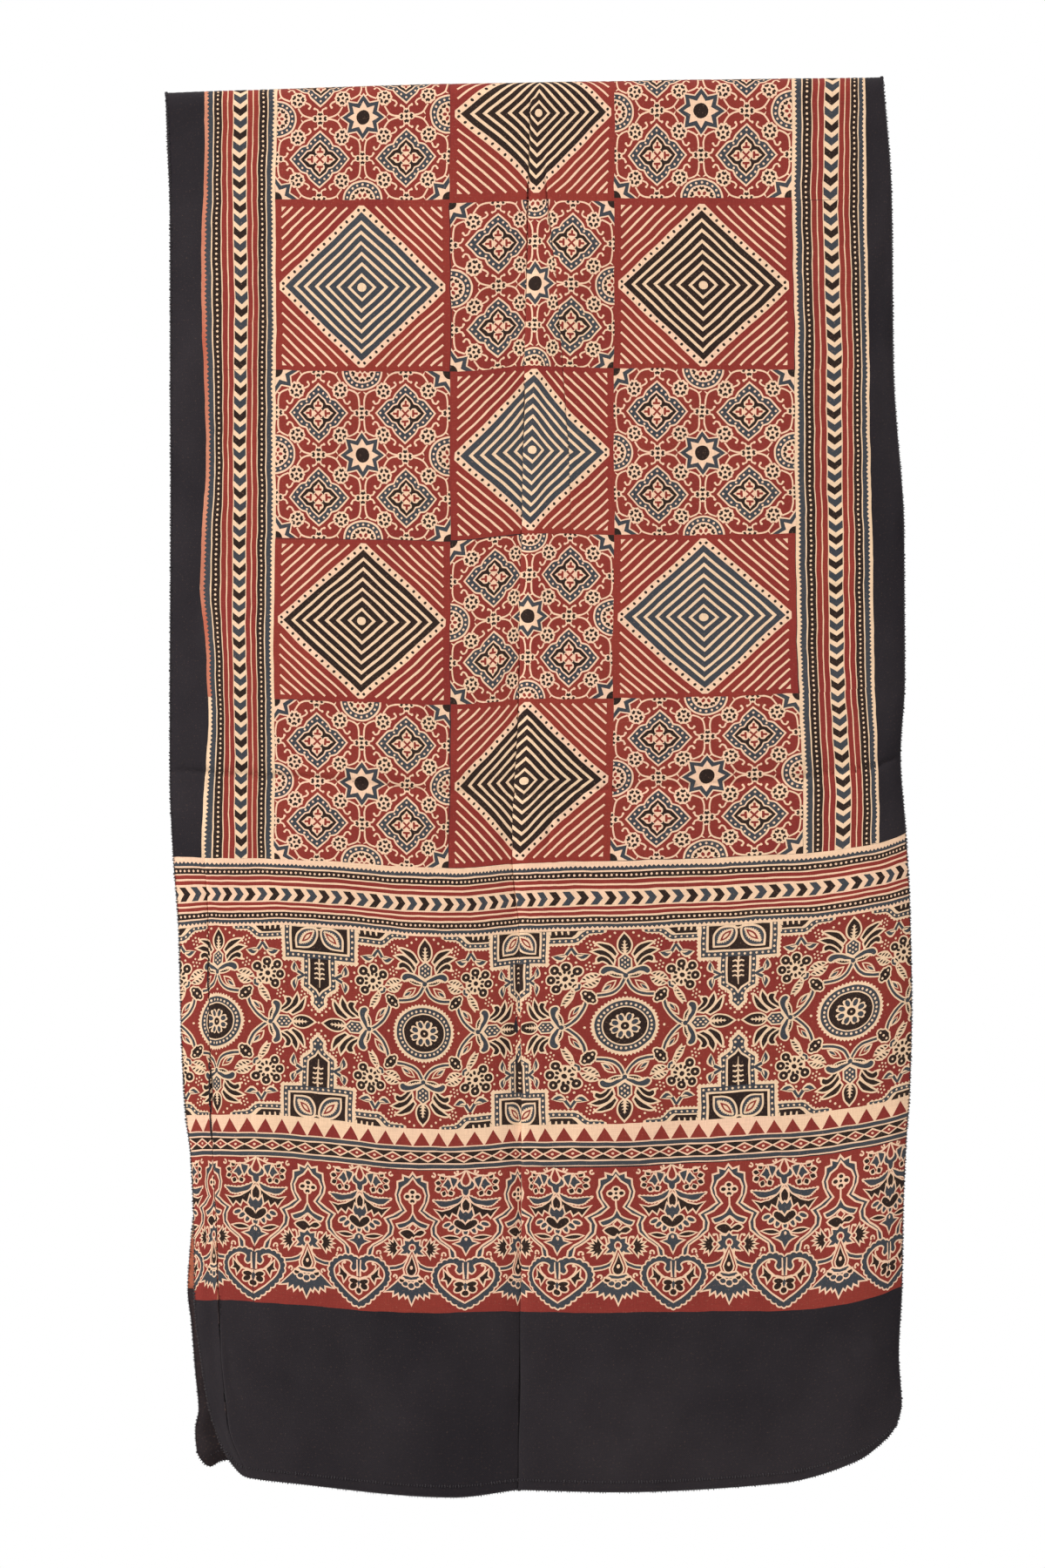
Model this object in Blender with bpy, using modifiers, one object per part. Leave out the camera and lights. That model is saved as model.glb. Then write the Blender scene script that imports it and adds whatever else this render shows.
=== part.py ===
# Block-printed stole of thin cloth, hung doubled over a bar that is not part of it.
# One sheet of cloth with its hems: front layer, turn over the bar, back layer.
# The front faces -Y, the width runs along X and the drop runs down from Z = 0.
# The origin is where the bar's top carries the inside of the fold, midway along it.
# Every size below is in millimetres, the mesh is in metres.
import math

import bmesh
import bpy
import numpy as np
from mathutils import Vector

for old in list(bpy.data.objects):
    bpy.data.objects.remove(old, do_unlink=True)

clothWidth = 587.4
frontLength = 1073.8
backLength = 1080.0
clothThickness = 1.4
foldRadius = 12.0
quarterTurn = foldRadius * math.pi / 2
easeLength = 150.0

# front layer: side edges, measured across the width at lengths below the fold
frontEdges = {
    "down": [0, 95, 220.4, 345.8, 471.2, 534.6, 596.6, 648.1, 726, 794.6, 825, 884.4,
             935.9, 990, 1036.2, 1073.8],
    "left": [-271.9, -268.6, -268.3, -268.0, -268.6, -268.6, -266.0, -262.0, -260.0, -256.7,
             -252.8, -250.1, -249.8, -244.9, -238.9, -228.4],
    "right": [271.3, 278.5, 279.8, 287.8, 288.4, 285.1, 289.1, 292.1, 293.7, 292.1, 289.7,
              287.1, 286.4, 283.8, 286.1, 280.5],
}

# front layer: where five lines that run down the cloth hang, by their place in the width
innerPlaces = [86.8, 224.7, 362.7, 500.6, 558.0]
innerLines = {
    "down": [0, 345.8, 471.2, 596.6, 726, 825, 935.9, 1073.8],
    86.8: [-187.4, -188.8, -189.4, -189.4, -188.8, -190.4, -191.7, -172.9],
    224.7: [-56.1, -56.1, -56.1, -56.8, -59.1, -59.4, -59.7, -52.8],
    362.7: [68.6, 68.0, 68.0, 65.3, 66.2, 67.3, 69.0, 66.0],
    500.6: [202.6, 205.9, 208.2, 211.2, 207.7, 207.9, 207.9, 193.4],
    558.0: [258.1, 263.3, 266.0, 268.6, 266.4, 265.3, 263.3, 254.1],
}

# two long creases: place in the width, and where the cloth hangs before and after each
middleCrease = {
    "down": [0, 95, 345.8, 471.2, 596.6, 648.1, 726, 825, 935.9, 1073.8],
    "place": [282.5, 282.5, 282.5, 282.5, 283.8, 286.4, 288.4, 286.4, 283.8, 283.8],
    "before": [4.0, 2.6, -2.0, -4.6, -9.2, -4.0, -2.6, -2.3, -3.3, -5.3],
    "after": [13.2, 11.9, 7.3, 5.3, 0.7, 3.3, 4.3, 4.0, 3.0, 1.3],
    "take": 13.9,
}
leftCrease = {
    "down": [0, 95, 534.6, 596.6, 648.1, 726, 794.6, 884.4, 935.9, 1036.2, 1073.8],
    "place": [26.4, 26.4, 26.4, 26.4, 26.4, 26.4, 27.7, 35.6, 37.0, 37.0, 37.0],
    "before": [-245.8, -244.8, -244.0, -242.2, -239.6, -238.6, -237.6, -233.0, -231.7,
               -224.4, -209.2],
    "after": [-236.9, -236.3, -235.5, -234.0, -234.3, -235.3, -234.0, -229.0, -227.7,
              -219.1, -202.0],
    "take": 9.2,
}

# front layer: height of lines across the cloth, one row each, by place in the width
heightPlaces = [0, 35.6, 86.8, 224.7, 290.4, 362.7, 500.6, 558.0, 587.4]
heightRows = {
    0: [-7.3, -5.9, -4.3, -0.3, 0.7, 1.7, 3.6, 4.3, 4.6],
    95: [-90.4, -90.8, -90.8, -90.8, -87.5, -89.4, -88.8, -88.1, -87.5],
    345.8: [-343.5, -344.2, -344.9, -346.8, -341.6, -343.5, -342.2, -340.2, -338.2],
    596.6: [-586.4, -587.1, -588.4, -595.0, -592.0, -589.7, -583.8, -575.2, -567.9],
    648.1: [-641.2, -638.6, -638.6, -647.1, -643.8, -641.2, -635.2, -626.7, -620.7],
    794.6: [-782.4, -781.8, -783.1, -793.0, -789.7, -788.4, -781.1, -773.2, -767.2],
    935.9: [-921.7, -921.4, -923.7, -931.6, -930.9, -930.9, -928.3, -919.7, -911.8],
    1036.2: [-1003.5, -1017.4, -1023.3, -1031.9, -1029.9, -1030.6, -1024.0, -1012.1, -1000.2],
    1073.8: [-1037.2, -1056.3, -1061.0, -1071.5, -1065.9, -1067.5, -1061.0, -1043.1, -1022.0],
}

# back layer: side edges by height, and the height of its hem by place in the width
backEdges = {
    "height": [-1050, -1040, -1022, -1007, -977, -940, -916, -874, -838, -794, -596, -266,
               -68, 1],
    "left": [-245.5, -248.6, -250.1, -247.5, -250.1, -253.1, -255.8, -253.1, -249.4, -253.4,
             -260.7, -266.0, -268.0, -271.9],
    "right": [274.0, 277.0, 279.0, 279.0, 279.5, 280.5, 281.0, 282.0, 283.0, 286.0, 283.0,
              278.0, 274.0, 271.3],
}
backHem = {
    "place": [0, 6, 20, 60, 290, 500, 560, 587.4],
    "height": [-1047.0, -1050.5, -1045.5, -1044.0, -1050.0, -1044.0, -1024.0, -1006.0],
}

# how far each layer stands off its plane beside the gap, by place in the width
frontWave = {
    "place": [0, 10, 26, 37, 62, 130, 205, 262, 283.8, 298, 326, 372, 440, 505, 548, 574, 587.4],
    "upper": [2, 3.5, 5.5, 6.5, 7, 7.5, 6, 5, 4, 7, 7.5, 6, 4.5, 4.5, 5.5, 4, 2.5],
    "lower": [3, 6, 8.5, 10.5, 12.5, 14, 11, 7, 4, 10, 11, 9, 6, 6, 9, 7, 3.5],
    "hem": [1, 3, 6, 9, 12.5, 15, 14, 10, 7, 11, 13, 14, 11, 10, 10, 5, 1.5],
}
backWave = {
    "place": [0, 22, 60, 150, 240, 330, 420, 500, 560, 587.4],
    "upper": [2, 3.5, 5, 3, 4, 6, 4, 3, 4.5, 3],
    "lower": [3, 6, 9, 5, 7, 10, 7, 5, 8, 5],
    "hem": [2, 5, 11, 6, 9, 13, 9, 6, 9, 5],
}


def smoothLine(places, values, wanted):
    # a smooth curve through the points that never overshoots them
    px = np.asarray(places, float)
    py = np.asarray(values, float)
    step = np.diff(px)
    rise = np.diff(py) / step
    slope = np.zeros(len(px))
    slope[0] = rise[0]
    slope[-1] = rise[-1]
    for i in range(1, len(px) - 1):
        if rise[i - 1] * rise[i] > 0:
            before = 2 * step[i] + step[i - 1]
            after = step[i] + 2 * step[i - 1]
            slope[i] = (before + after) / (before / rise[i - 1] + after / rise[i])
    want = np.clip(np.asarray(wanted, float), px[0], px[-1])
    seg = np.clip(np.searchsorted(px, want, side="right") - 1, 0, len(step) - 1)
    t = (want - px[seg]) / step[seg]
    h = step[seg]
    return (py[seg] * (1 + 2 * t) * (1 - t) ** 2 + slope[seg] * h * t * (1 - t) ** 2
            + py[seg + 1] * t * t * (3 - 2 * t) + slope[seg + 1] * h * t * t * (t - 1))


def ease(start, end, value):
    t = min(max((value - start) / (end - start), 0.0), 1.0)
    return t * t * (3 - 2 * t)


def standOff(wave, across, down, length):
    # upper section near the fold, lower section at three quarters, then the hem's
    low = ease(200, 820, down)
    hem = ease(0.78 * length, length, down)
    table = (1 - low) * np.array(wave["upper"]) + low * np.array(wave["lower"])
    table = (1 - hem) * table + hem * np.array(wave["hem"])
    return smoothLine(wave["place"], table, across) * ease(quarterTurn, easeLength, down)


def foldTop(across):
    return smoothLine(heightPlaces, heightRows[0], across)


def frontHeights(across, down):
    # one row's heights: each column of the table is read down, then across
    columns = []
    for k, top in enumerate(heightRows[0]):
        rows = [quarterTurn] + [r for r in heightRows if r > 0]
        heights = [top - foldRadius] + [heightRows[r][k] for r in heightRows if r > 0]
        columns.append(float(smoothLine(rows, heights, down)))
    return smoothLine(heightPlaces, columns, across)


def frontSides(across, down):
    places = [0.0]
    sides = [float(smoothLine(frontEdges["down"], frontEdges["left"], down))]
    for crease in (leftCrease, middleCrease):
        if crease is middleCrease:
            for place in innerPlaces[:2]:
                places.append(place)
                sides.append(float(smoothLine(innerLines["down"], innerLines[place], down)))
        at = float(smoothLine(crease["down"], crease["place"], down))
        places += [at, at + crease["take"]]
        sides.append(float(smoothLine(crease["down"], crease["before"], down)))
        sides.append(float(smoothLine(crease["down"], crease["after"], down)))
    for place in innerPlaces[2:]:
        places.append(place)
        sides.append(float(smoothLine(innerLines["down"], innerLines[place], down)))
    places.append(clothWidth)
    sides.append(float(smoothLine(frontEdges["down"], frontEdges["right"], down)))
    return smoothLine(places, sides, across)


def frontRow(across, down):
    side = frontSides(across, max(down, 0.0))
    if down <= quarterTurn:
        turn = down / foldRadius
        height = foldTop(across) - foldRadius * (1 - math.cos(turn))
        depth = np.full(len(across), -foldRadius * math.sin(turn))
        return side, depth, height
    off = standOff(frontWave, across, down, frontLength)
    # the crosswise storage crease presses the cloth back a little
    off = off - 1.6 * math.exp(-((down - 536) / 9.0) ** 2)
    return side, -foldRadius - off, frontHeights(across, down)


def backRow(across, down):
    top = foldTop(across)
    if down <= quarterTurn:
        turn = down / foldRadius
        height = top - foldRadius * (1 - math.cos(turn))
        depth = np.full(len(across), foldRadius * math.sin(turn))
    else:
        hem = smoothLine(backHem["place"], backHem["height"], across)
        share = (down - quarterTurn) / (backLength - quarterTurn)
        height = (top - foldRadius) + share * (hem - top + foldRadius)
        depth = foldRadius + standOff(backWave, across, down, backLength)
    left = smoothLine(backEdges["height"], backEdges["left"], height)
    right = smoothLine(backEdges["height"], backEdges["right"], height)
    # near the fold the back layer shares the front layer's spacing
    own = left + (right - left) * across / clothWidth
    shared = frontSides(across, 0.0)
    keep = ease(0, easeLength, down)
    return shared * (1 - keep) + own * keep, depth, height


# the sheet as a grid: columns gather at the creases and edges, rows at the turn
columns = np.array([0, 9, 18, 26.4, 35.6, 50, 68, 88, 112, 138, 165, 192, 220, 246, 268, 284.5,
                    291, 298, 310, 328, 350, 376, 406, 438, 470, 500, 526, 548, 566, 578,
                    clothWidth])
turnSteps = 5
frontDowns = [quarterTurn * (i + 1) / turnSteps for i in range(turnSteps)]
frontDowns += [45, 85, 125, 170, 220, 270, 320, 370, 420, 470, 505, 527, 545, 565, 597, 635,
               680, 726, 772, 812, 850, 892, 936, 975, 1010, 1040, 1060, frontLength]
backDowns = [quarterTurn * (i + 1) / turnSteps for i in range(turnSteps)]
backDowns += [50, 100, 160, 230, 300, 370, 440, 510, 580, 650, 720, 780, 830, 870, 905, 940,
              975, 1010, 1040, 1062, backLength]

rows = [backRow(columns, down) for down in reversed(backDowns)]
rows.append(frontRow(columns, 0.0))
rows += [frontRow(columns, down) for down in frontDowns]

sheet = bmesh.new()
bmesh.ops.create_grid(sheet, x_segments=len(columns) - 1, y_segments=len(rows) - 1, size=1.0)
sheet.verts.ensure_lookup_table()
for vert in sheet.verts:
    column = round((vert.co.x + 1) / 2 * (len(columns) - 1))
    row = round((vert.co.y + 1) / 2 * (len(rows) - 1))
    side, depth, height = rows[row]
    vert.co = Vector((side[column], depth[column], height[column])) / 1000

mesh = bpy.data.meshes.new("ajrakh_cloth")
sheet.to_mesh(mesh)
sheet.free()
cloth = bpy.data.objects.new("ajrakh_cloth", mesh)
home = bpy.data.collections.new("ajrakh_cloth")
bpy.context.scene.collection.children.link(home)
home.objects.link(cloth)

solid = cloth.modifiers.new("thickness", "SOLIDIFY")
solid.thickness = clothThickness / 1000
solid.offset = 0.0
solid.use_even_offset = True
solid.use_quality_normals = True

fabric = bpy.data.materials.new("block_printed_cotton")
fabric.use_nodes = True
shader = fabric.node_tree.nodes["Principled BSDF"]
shader.inputs["Base Color"].default_value = (0.17, 0.035, 0.03, 1.0)
shader.inputs["Roughness"].default_value = 0.85
shader.inputs["Metallic"].default_value = 0.0
mesh.materials.append(fabric)
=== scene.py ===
# Block-printed ajrakh stole, hung doubled: the printed sheet on the folds of its CAD solid.
# Everything is in metres in the CAD frame; the tables below are in millimetres.
import math

import bmesh
import bpy
import numpy as np
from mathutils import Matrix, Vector, geometry


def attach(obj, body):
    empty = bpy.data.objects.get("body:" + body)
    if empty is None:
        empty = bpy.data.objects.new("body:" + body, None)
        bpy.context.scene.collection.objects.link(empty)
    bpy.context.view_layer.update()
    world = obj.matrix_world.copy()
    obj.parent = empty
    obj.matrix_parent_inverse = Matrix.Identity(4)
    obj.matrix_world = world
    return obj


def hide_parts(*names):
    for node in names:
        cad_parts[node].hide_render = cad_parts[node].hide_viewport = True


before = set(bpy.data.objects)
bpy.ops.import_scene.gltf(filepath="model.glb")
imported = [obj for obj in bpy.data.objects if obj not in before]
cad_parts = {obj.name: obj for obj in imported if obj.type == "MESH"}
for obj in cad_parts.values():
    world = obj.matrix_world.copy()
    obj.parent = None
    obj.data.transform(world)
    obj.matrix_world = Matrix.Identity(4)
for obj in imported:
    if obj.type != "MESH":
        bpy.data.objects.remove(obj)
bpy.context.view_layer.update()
scene = bpy.context.scene
print("frame loaded")

camera = {"pixel": 0.66, "away": 10.0, "plane": -0.015, "across": -1.3, "height": -531.4, "rows": 1800}


def placeCamera(c):
    # a long lens straight in front, so that one photo pixel is 0.66 mm on the front layer
    data = bpy.data.cameras.new("photoCamera")
    data.sensor_fit = "VERTICAL"
    data.sensor_height = 36.0
    data.lens = 36.0 * c["away"] / (c["pixel"] * c["rows"] / 1000)
    data.clip_end = 40.0
    eye = bpy.data.objects.new("photoCamera", data)
    eye.location = (c["across"] / 1000, c["plane"] - c["away"], c["height"] / 1000)
    eye.rotation_euler = (math.pi / 2, 0, 0)
    scene.collection.objects.link(eye)
    scene.camera = eye


placeCamera(camera)

# The print is drawn as flat shapes on a chart: x across the cloth, y down it, one square = chartSquare mm.
# A shape is (points, ink); later shapes lie over earlier ones. Corners are points given twice.
chartSquare = 0.66


def curve(points, steps=4, closed=True):
    pts = np.asarray(points, float)
    count = len(pts)
    out = []
    for i in range(count if closed else count - 1):
        a, b = pts[i], pts[(i + 1) % count]
        if abs(a - b).sum() < 1e-9:
            continue
        before = pts[i - 1] if (i > 0 or closed) else a
        after = pts[(i + 2) % count] if (closed or i + 2 < count) else b
        t = np.arange(steps)[:, None] / steps
        out.append((2 * t ** 3 - 3 * t ** 2 + 1) * a + (t ** 3 - 2 * t ** 2 + t) * (b - before) / 2
                   + (3 * t ** 2 - 2 * t ** 3) * b + (t ** 3 - t ** 2) * (after - a) / 2)
    if not closed:
        out.append(pts[-1:])
    return np.vstack(out)


def area(points):
    x, y = points[:, 0], points[:, 1]
    return float((x * np.roll(y, -1) - y * np.roll(x, -1)).sum() / 2)


def grow(points, distance):
    # the same outline pushed out by a distance, or in where it is negative
    p = np.asarray(points, float)
    if area(p) < 0:
        p = p[::-1]
    edge = np.roll(p, -1, 0) - p
    edge /= np.maximum(np.hypot(edge[:, 0], edge[:, 1]), 1e-9)[:, None]
    out = np.stack([edge[:, 1], -edge[:, 0]], 1)
    mid = out + np.roll(out, 1, 0)
    mid /= np.maximum(np.hypot(mid[:, 0], mid[:, 1]), 1e-6)[:, None]
    return p + mid * (distance / np.maximum((mid * out).sum(1), 0.5))[:, None]


def edged(points, ink, line):
    # a shape with the undyed line that the block leaves round it
    return [(grow(points, line), "cream"), (np.asarray(points, float), ink)]


def disc(x, y, r, ry=None, sides=8, turn=0.0):
    a = np.arange(sides) / sides * 2 * math.pi + 0.2
    px, py = r * np.cos(a), (ry or r) * np.sin(a)
    c, s = math.cos(turn), math.sin(turn)
    return np.stack([x + px * c - py * s, y + px * s + py * c], 1)


def star(x, y, tip, notch, count, wide=1.0):
    a = np.arange(2 * count) / count * math.pi
    r = np.where(np.arange(2 * count) % 2 == 0, tip, notch)
    return np.stack([x + r * np.cos(a) * wide, y + r * np.sin(a)], 1)


def almond(start, end, width, bend=0.0, belly=0.5, steps=5):
    a, b = np.asarray(start, float), np.asarray(end, float)
    along = b - a
    across = np.array([-along[1], along[0]]) / math.hypot(*along)
    t = np.linspace(0, 1, steps + 1)
    swell = np.sin(math.pi * t ** (math.log(0.5) / math.log(belly))) * width / 2
    mid = a + along * t[:, None] + across * (bend * 4 * t * (1 - t))[:, None]
    left = mid + across * swell[:, None]
    right = mid - across * swell[:, None]
    return np.vstack([left, right[-2:0:-1]])


def ribbon(path, width, first=1.0, last=1.0):
    # a stroke along an open path; first and last are its end widths as shares
    p = np.asarray(path, float)
    step = np.diff(p, axis=0)
    step /= np.maximum(np.hypot(step[:, 0], step[:, 1]), 1e-9)[:, None]
    way = np.vstack([step[:1], step[:-1] + step[1:], step[-1:]])
    way /= np.maximum(np.hypot(way[:, 0], way[:, 1]), 1e-6)[:, None]
    side = np.stack([-way[:, 1], way[:, 0]], 1)
    t = np.linspace(0, 1, len(p))
    half = width / 2 * np.interp(t, [0, 0.5, 1], [max(first, 0.08), 1, max(last, 0.08)])
    return np.vstack([p + side * half[:, None], (p - side * half[:, None])[::-1]])


def evenly(path, pitch, closed=False):
    p = np.asarray(path, float)
    if closed:
        p = np.vstack([p, p[:1]])
    run = np.concatenate([[0], np.cumsum(np.hypot(*np.diff(p, axis=0).T))])
    count = max(2, round(run[-1] / pitch))
    want = np.linspace(0, run[-1], count + 1)
    even = np.stack([np.interp(want, run, p[:, 0]), np.interp(want, run, p[:, 1])], 1)
    return even[:-1] if closed else even


def toothed(points, pitch, depth, rounded=False):
    # a closed outline with teeth or scallops standing out of every side
    p = np.asarray(points, float)
    if area(p) < 0:
        p = p[::-1]
    marks = ((0.25, 0.75), (0.5, 1.0), (0.75, 0.75)) if rounded else ((0.5, 1.0),)
    out = []
    for a, b in zip(p, np.roll(p, -1, 0)):
        long = math.hypot(*(b - a))
        if long < 1e-6:
            continue
        normal = np.array([b[1] - a[1], a[0] - b[0]]) / long
        count = max(1, round(long / pitch))
        for k in range(count):
            out.append(a + (b - a) * k / count)
            for share, rise in marks:
                out.append(a + (b - a) * (k + share) / count + normal * depth * rise)
    return np.array(out)


def dots(spots, r, ink="cream", sides=6):
    return [(disc(x, y, r, sides=sides), ink) for x, y in spots]


def dotsOn(path, pitch, r):
    return dots(evenly(path, pitch), r)


def cluster(x, y, r=4.4, size=1.25):
    # a ring of six dots about one
    spots = [(x, y)]
    spots += [(x + r * math.cos(k * math.pi / 3 + 0.3), y + r * math.sin(k * math.pi / 3 + 0.3))
              for k in range(6)]
    return dots(spots, size)


def curl(x, y, r, side, start, width=1.9):
    # a small hook ending in a ball, as a printer's line does
    a = start + side * np.linspace(0, 4.2, 7)
    fall = np.linspace(1.0, 0.45, 7)
    path = np.stack([x + r * fall * np.cos(a), y + r * fall * np.sin(a)], 1)
    return [(ribbon(path, width), "cream")] + dots(path[-1:], width * 0.75)


def hook(path, width=1.9, ball=1.5):
    line = curve(path, 3, False)
    return [(ribbon(line, width), "cream")] + dots(line[-1:], ball)


def moved(shapes, dx=0.0, dy=0.0, wide=1.0, tall=1.0, turn=0.0):
    c, s = math.cos(turn), math.sin(turn)
    out = []
    for p, ink in shapes:
        x, y = p[:, 0] * wide, p[:, 1] * tall
        out.append((np.stack([dx + x * c - y * s, dy + x * s + y * c], 1), ink))
    return out


def bled(shapes, spread):
    # dye creeps a little past the carved line, so dark shapes print fuller than the pale lines between them
    return [(grow(p, spread) if ink not in ("cream", "buff") and min(np.ptp(p, axis=0)) < 60 else p, ink)
            for p, ink in shapes]


def mirroredOutline(half):
    # half is read from the axis round to the axis again; points on the axis aren't doubled
    return np.array(list(half) + [(-x, y) for x, y in half[::-1] if abs(x) > 1e-6], float)


def leftToo(shapes):
    return shapes + moved(shapes, wide=-1)


def allQuarters(shapes):
    half = leftToo(shapes)
    return half + moved(half, tall=-1)


def clipped(shapes, x0, y0, x1, y1):
    # cuts every shape to a block's edge, as one carved block ends where the next begins
    out = []
    for p, ink in shapes:
        for axis, limit, keep in ((0, x0, 1), (0, x1, -1), (1, y0, 1), (1, y1, -1)):
            gap = (p[:, axis] - limit) * keep
            if len(p) < 3 or gap.max() <= 1e-6:
                p = p[:0]
                break
            if gap.min() >= 0:
                continue
            cut = []
            for i in range(len(p)):
                a, b, ga, gb = p[i - 1], p[i], gap[i - 1], gap[i]
                if (ga >= 0) != (gb >= 0):
                    cut.append(a + (b - a) * ga / (ga - gb))
                if gb >= 0:
                    cut.append(b)
            p = np.array(cut)
        if len(p) > 2:
            out.append((p, ink))
    return out


block = {"wide": 209.0, "tall": 190.0}   # one carved field block, in chart squares
fourWays = ((1, 1), (1, -1), (-1, 1), (-1, -1))
lozengeSide = [(1, 0), (1, 0), (0.775, 0.27), (0.625, 0.44), (0.44, 0.5), (0.44, 0.5), (0.345, 0.68),
               (0.175, 0.83)]


def blockEdge(w, h):
    return np.array([(-w, -h), (w, -h), (w, h), (-w, h)])


def cuspedLozenge(wide, tall):
    side = np.array(lozengeSide)
    points = []
    for k, (sx, sy) in enumerate(((1, 1), (-1, 1), (-1, -1), (1, -1))):
        part = side * (wide * sx, tall * sy)
        if k % 2:
            part = np.vstack([part[2:][::-1], part[:2]])
            part = np.vstack([[(0, tall * sy), (0, tall * sy)], part[:-2]])
        points.append(part)
    return curve(np.vstack(points), 3)


def lozengeMotif():
    outer = cuspedLozenge(36.4, 34.5)
    inner = cuspedLozenge(25.1, 23.6)
    out = [(outer, "cream"), (grow(outer, -1.9), "indigo"), (grow(inner, -0.2), "cream"),
           (grow(inner, -1.9), "iron")]
    quarter = [(29.7, 0), (25.4, 5.4), (20.8, 10), (14.6, 13.6), (10.9, 18.8), (6, 23), (0, 27.1)]
    spots = {(sx * x, sy * y) for x, y in quarter for sx in (1, -1) for sy in (1, -1)}
    out += [(disc(x, y, 1.35), "cream") for x, y in sorted(spots)]
    spade = curve(mirroredOutline([(0, -17.6), (0, -17.6), (2.4, -14.2), (5.7, -11.4), (5.4, -7.4),
                                   (2.5, -6.0)]), 2)
    tee = np.array([(-4.0, -7.6), (4.0, -7.6), (4.0, -9.8), (1.3, -10.4), (1.3, -14.2), (-1.3, -14.2),
                    (-1.3, -10.4), (-4.0, -9.8)])
    lobe = [(spade, "cream"), (tee, "madder")]
    for k in range(4):
        out += moved(lobe, tall=1.05 if k % 2 else 1.0, turn=k * math.pi / 2)
    out.append((disc(0, 0, 7.0, sides=10), "cream"))
    for s in (1, -1):
        out.append((ribbon([(-4.2, -4.2 * s), (0, 0), (4.2, 4.2 * s)], 2.2), "madder"))
    return out


def rosette(x, y, turn=0.0):
    a = np.arange(30) / 30 * 2 * math.pi
    r = 9.5 + 0.65 * np.cos(10 * a)
    out = [(np.stack([x + r * np.cos(a), y + r * np.sin(a)], 1), "cream")]
    for k in range(5):
        c = turn + k * 2 * math.pi / 5
        path = [(x + q * math.cos(c + w), y + q * math.sin(c + w))
                for q, w in ((6.9, -0.36), (4.9, 0), (6.9, 0.36))]
        out.append((ribbon(path, 3.0), "iron"))
    return out + dots([(x, y)], 1.8, "iron")


def floret(x, y):
    out = [(disc(x + dx, y + dy, r, sides=10), "cream") for dx, dy, r in
           ((5.7, 0, 4.2), (-5.7, 0, 4.2), (0, 5.0, 4.0), (0, -5.0, 4.0), (0, 0, 4.6))]
    for dx, dy in ((1, 0), (-1, 0), (0, 1), (0, -1)):
        path = [(x + dx * 6.6 + dy * 2.4, y + dy * 5.9 + dx * 2.3), (x + dx * 5.2, y + dy * 4.6),
                (x + dx * 6.6 - dy * 2.4, y + dy * 5.9 - dx * 2.3)]
        out.append((ribbon(path, 3.0), "iron"))
    return out + dots([(x, y)], 2.0, "iron")


def eightStar(x, y):
    sizes = ((28.0, 19.0, "cream"), (25.0, 17.2, "indigo"), (18.4, 11.6, "cream"))
    stars = [(star(x, y, tip, notch, 8, 1.06), ink) for tip, notch, ink in sizes]
    return stars + dots([(x, y)], 8.4, "iron", 18)


def wheel(x, y):
    # the dotted wheel whose halves meet at the middle of each side
    out = [(disc(x, y, 24.2, 22.2, 40), "cream"), (disc(x, y, 22.0, 20.0, 40), "indigo"),
           (disc(x, y, 15.8, 14.3, 32), "cream")]
    out += [(disc(x + 18.9 * math.cos(a), y + 17.2 * math.sin(a), 1.45), "cream")
            for a in (np.arange(18) + 0.5) * math.pi / 9]
    for k in range(10):
        a = (k + 0.5) * math.pi / 5
        path = [(x + q * math.cos(a + w), y + 0.92 * q * math.sin(a + w))
                for q, w in ((12.9, -0.2), (10.7, 0), (12.9, 0.2))]
        out.append((ribbon(path, 3.0), "iron"))
    for k in range(6):
        a = k * math.pi / 3
        out.append((disc(x + 5.9 * math.cos(a), y + 5.5 * math.sin(a), 2.7, 1.9, 6, a), "madder"))
    return out + dots([(x, y)], 2.0, "madder")


def vines():
    # tendrils of a quarter of a cell, drawn from the lozenge's middle
    arcs = ([(-9, -46.8), (-15, -45.8), (-21, -42.6), (-26.4, -35.0)],
            [(-49.4, -7.6), (-49.3, -14), (-47.4, -20.6), (-43.2, -24.2), (-36.6, -26.7)])
    thorns = ([(-20.4, -42.6), (-22.8, -46.4)], [(-46.8, -21.2), (-50.6, -23.8)])
    out = [(ribbon(curve(arc, 3, False), 1.9), "cream") for arc in arcs]
    out += [(ribbon(thorn, 2.2, 1, 0.3), "cream") for thorn in thorns]
    out += hook([(-17.9, -28.2), (-13.6, -30.0), (-11.5, -32.6), (-13.2, -35.2)])
    out += hook([(-30.9, -16.2), (-33.0, -11.8), (-36.3, -10.4), (-38.3, -13.0)])
    out += hook([(-2.2, -41.2), (-3.0, -37.2), (-6.6, -35.4)], 1.8, 1.6)
    out += hook([(-44.6, -1.9), (-40.4, -2.9), (-38.6, -6.2)], 1.8, 1.6)
    return out


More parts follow.
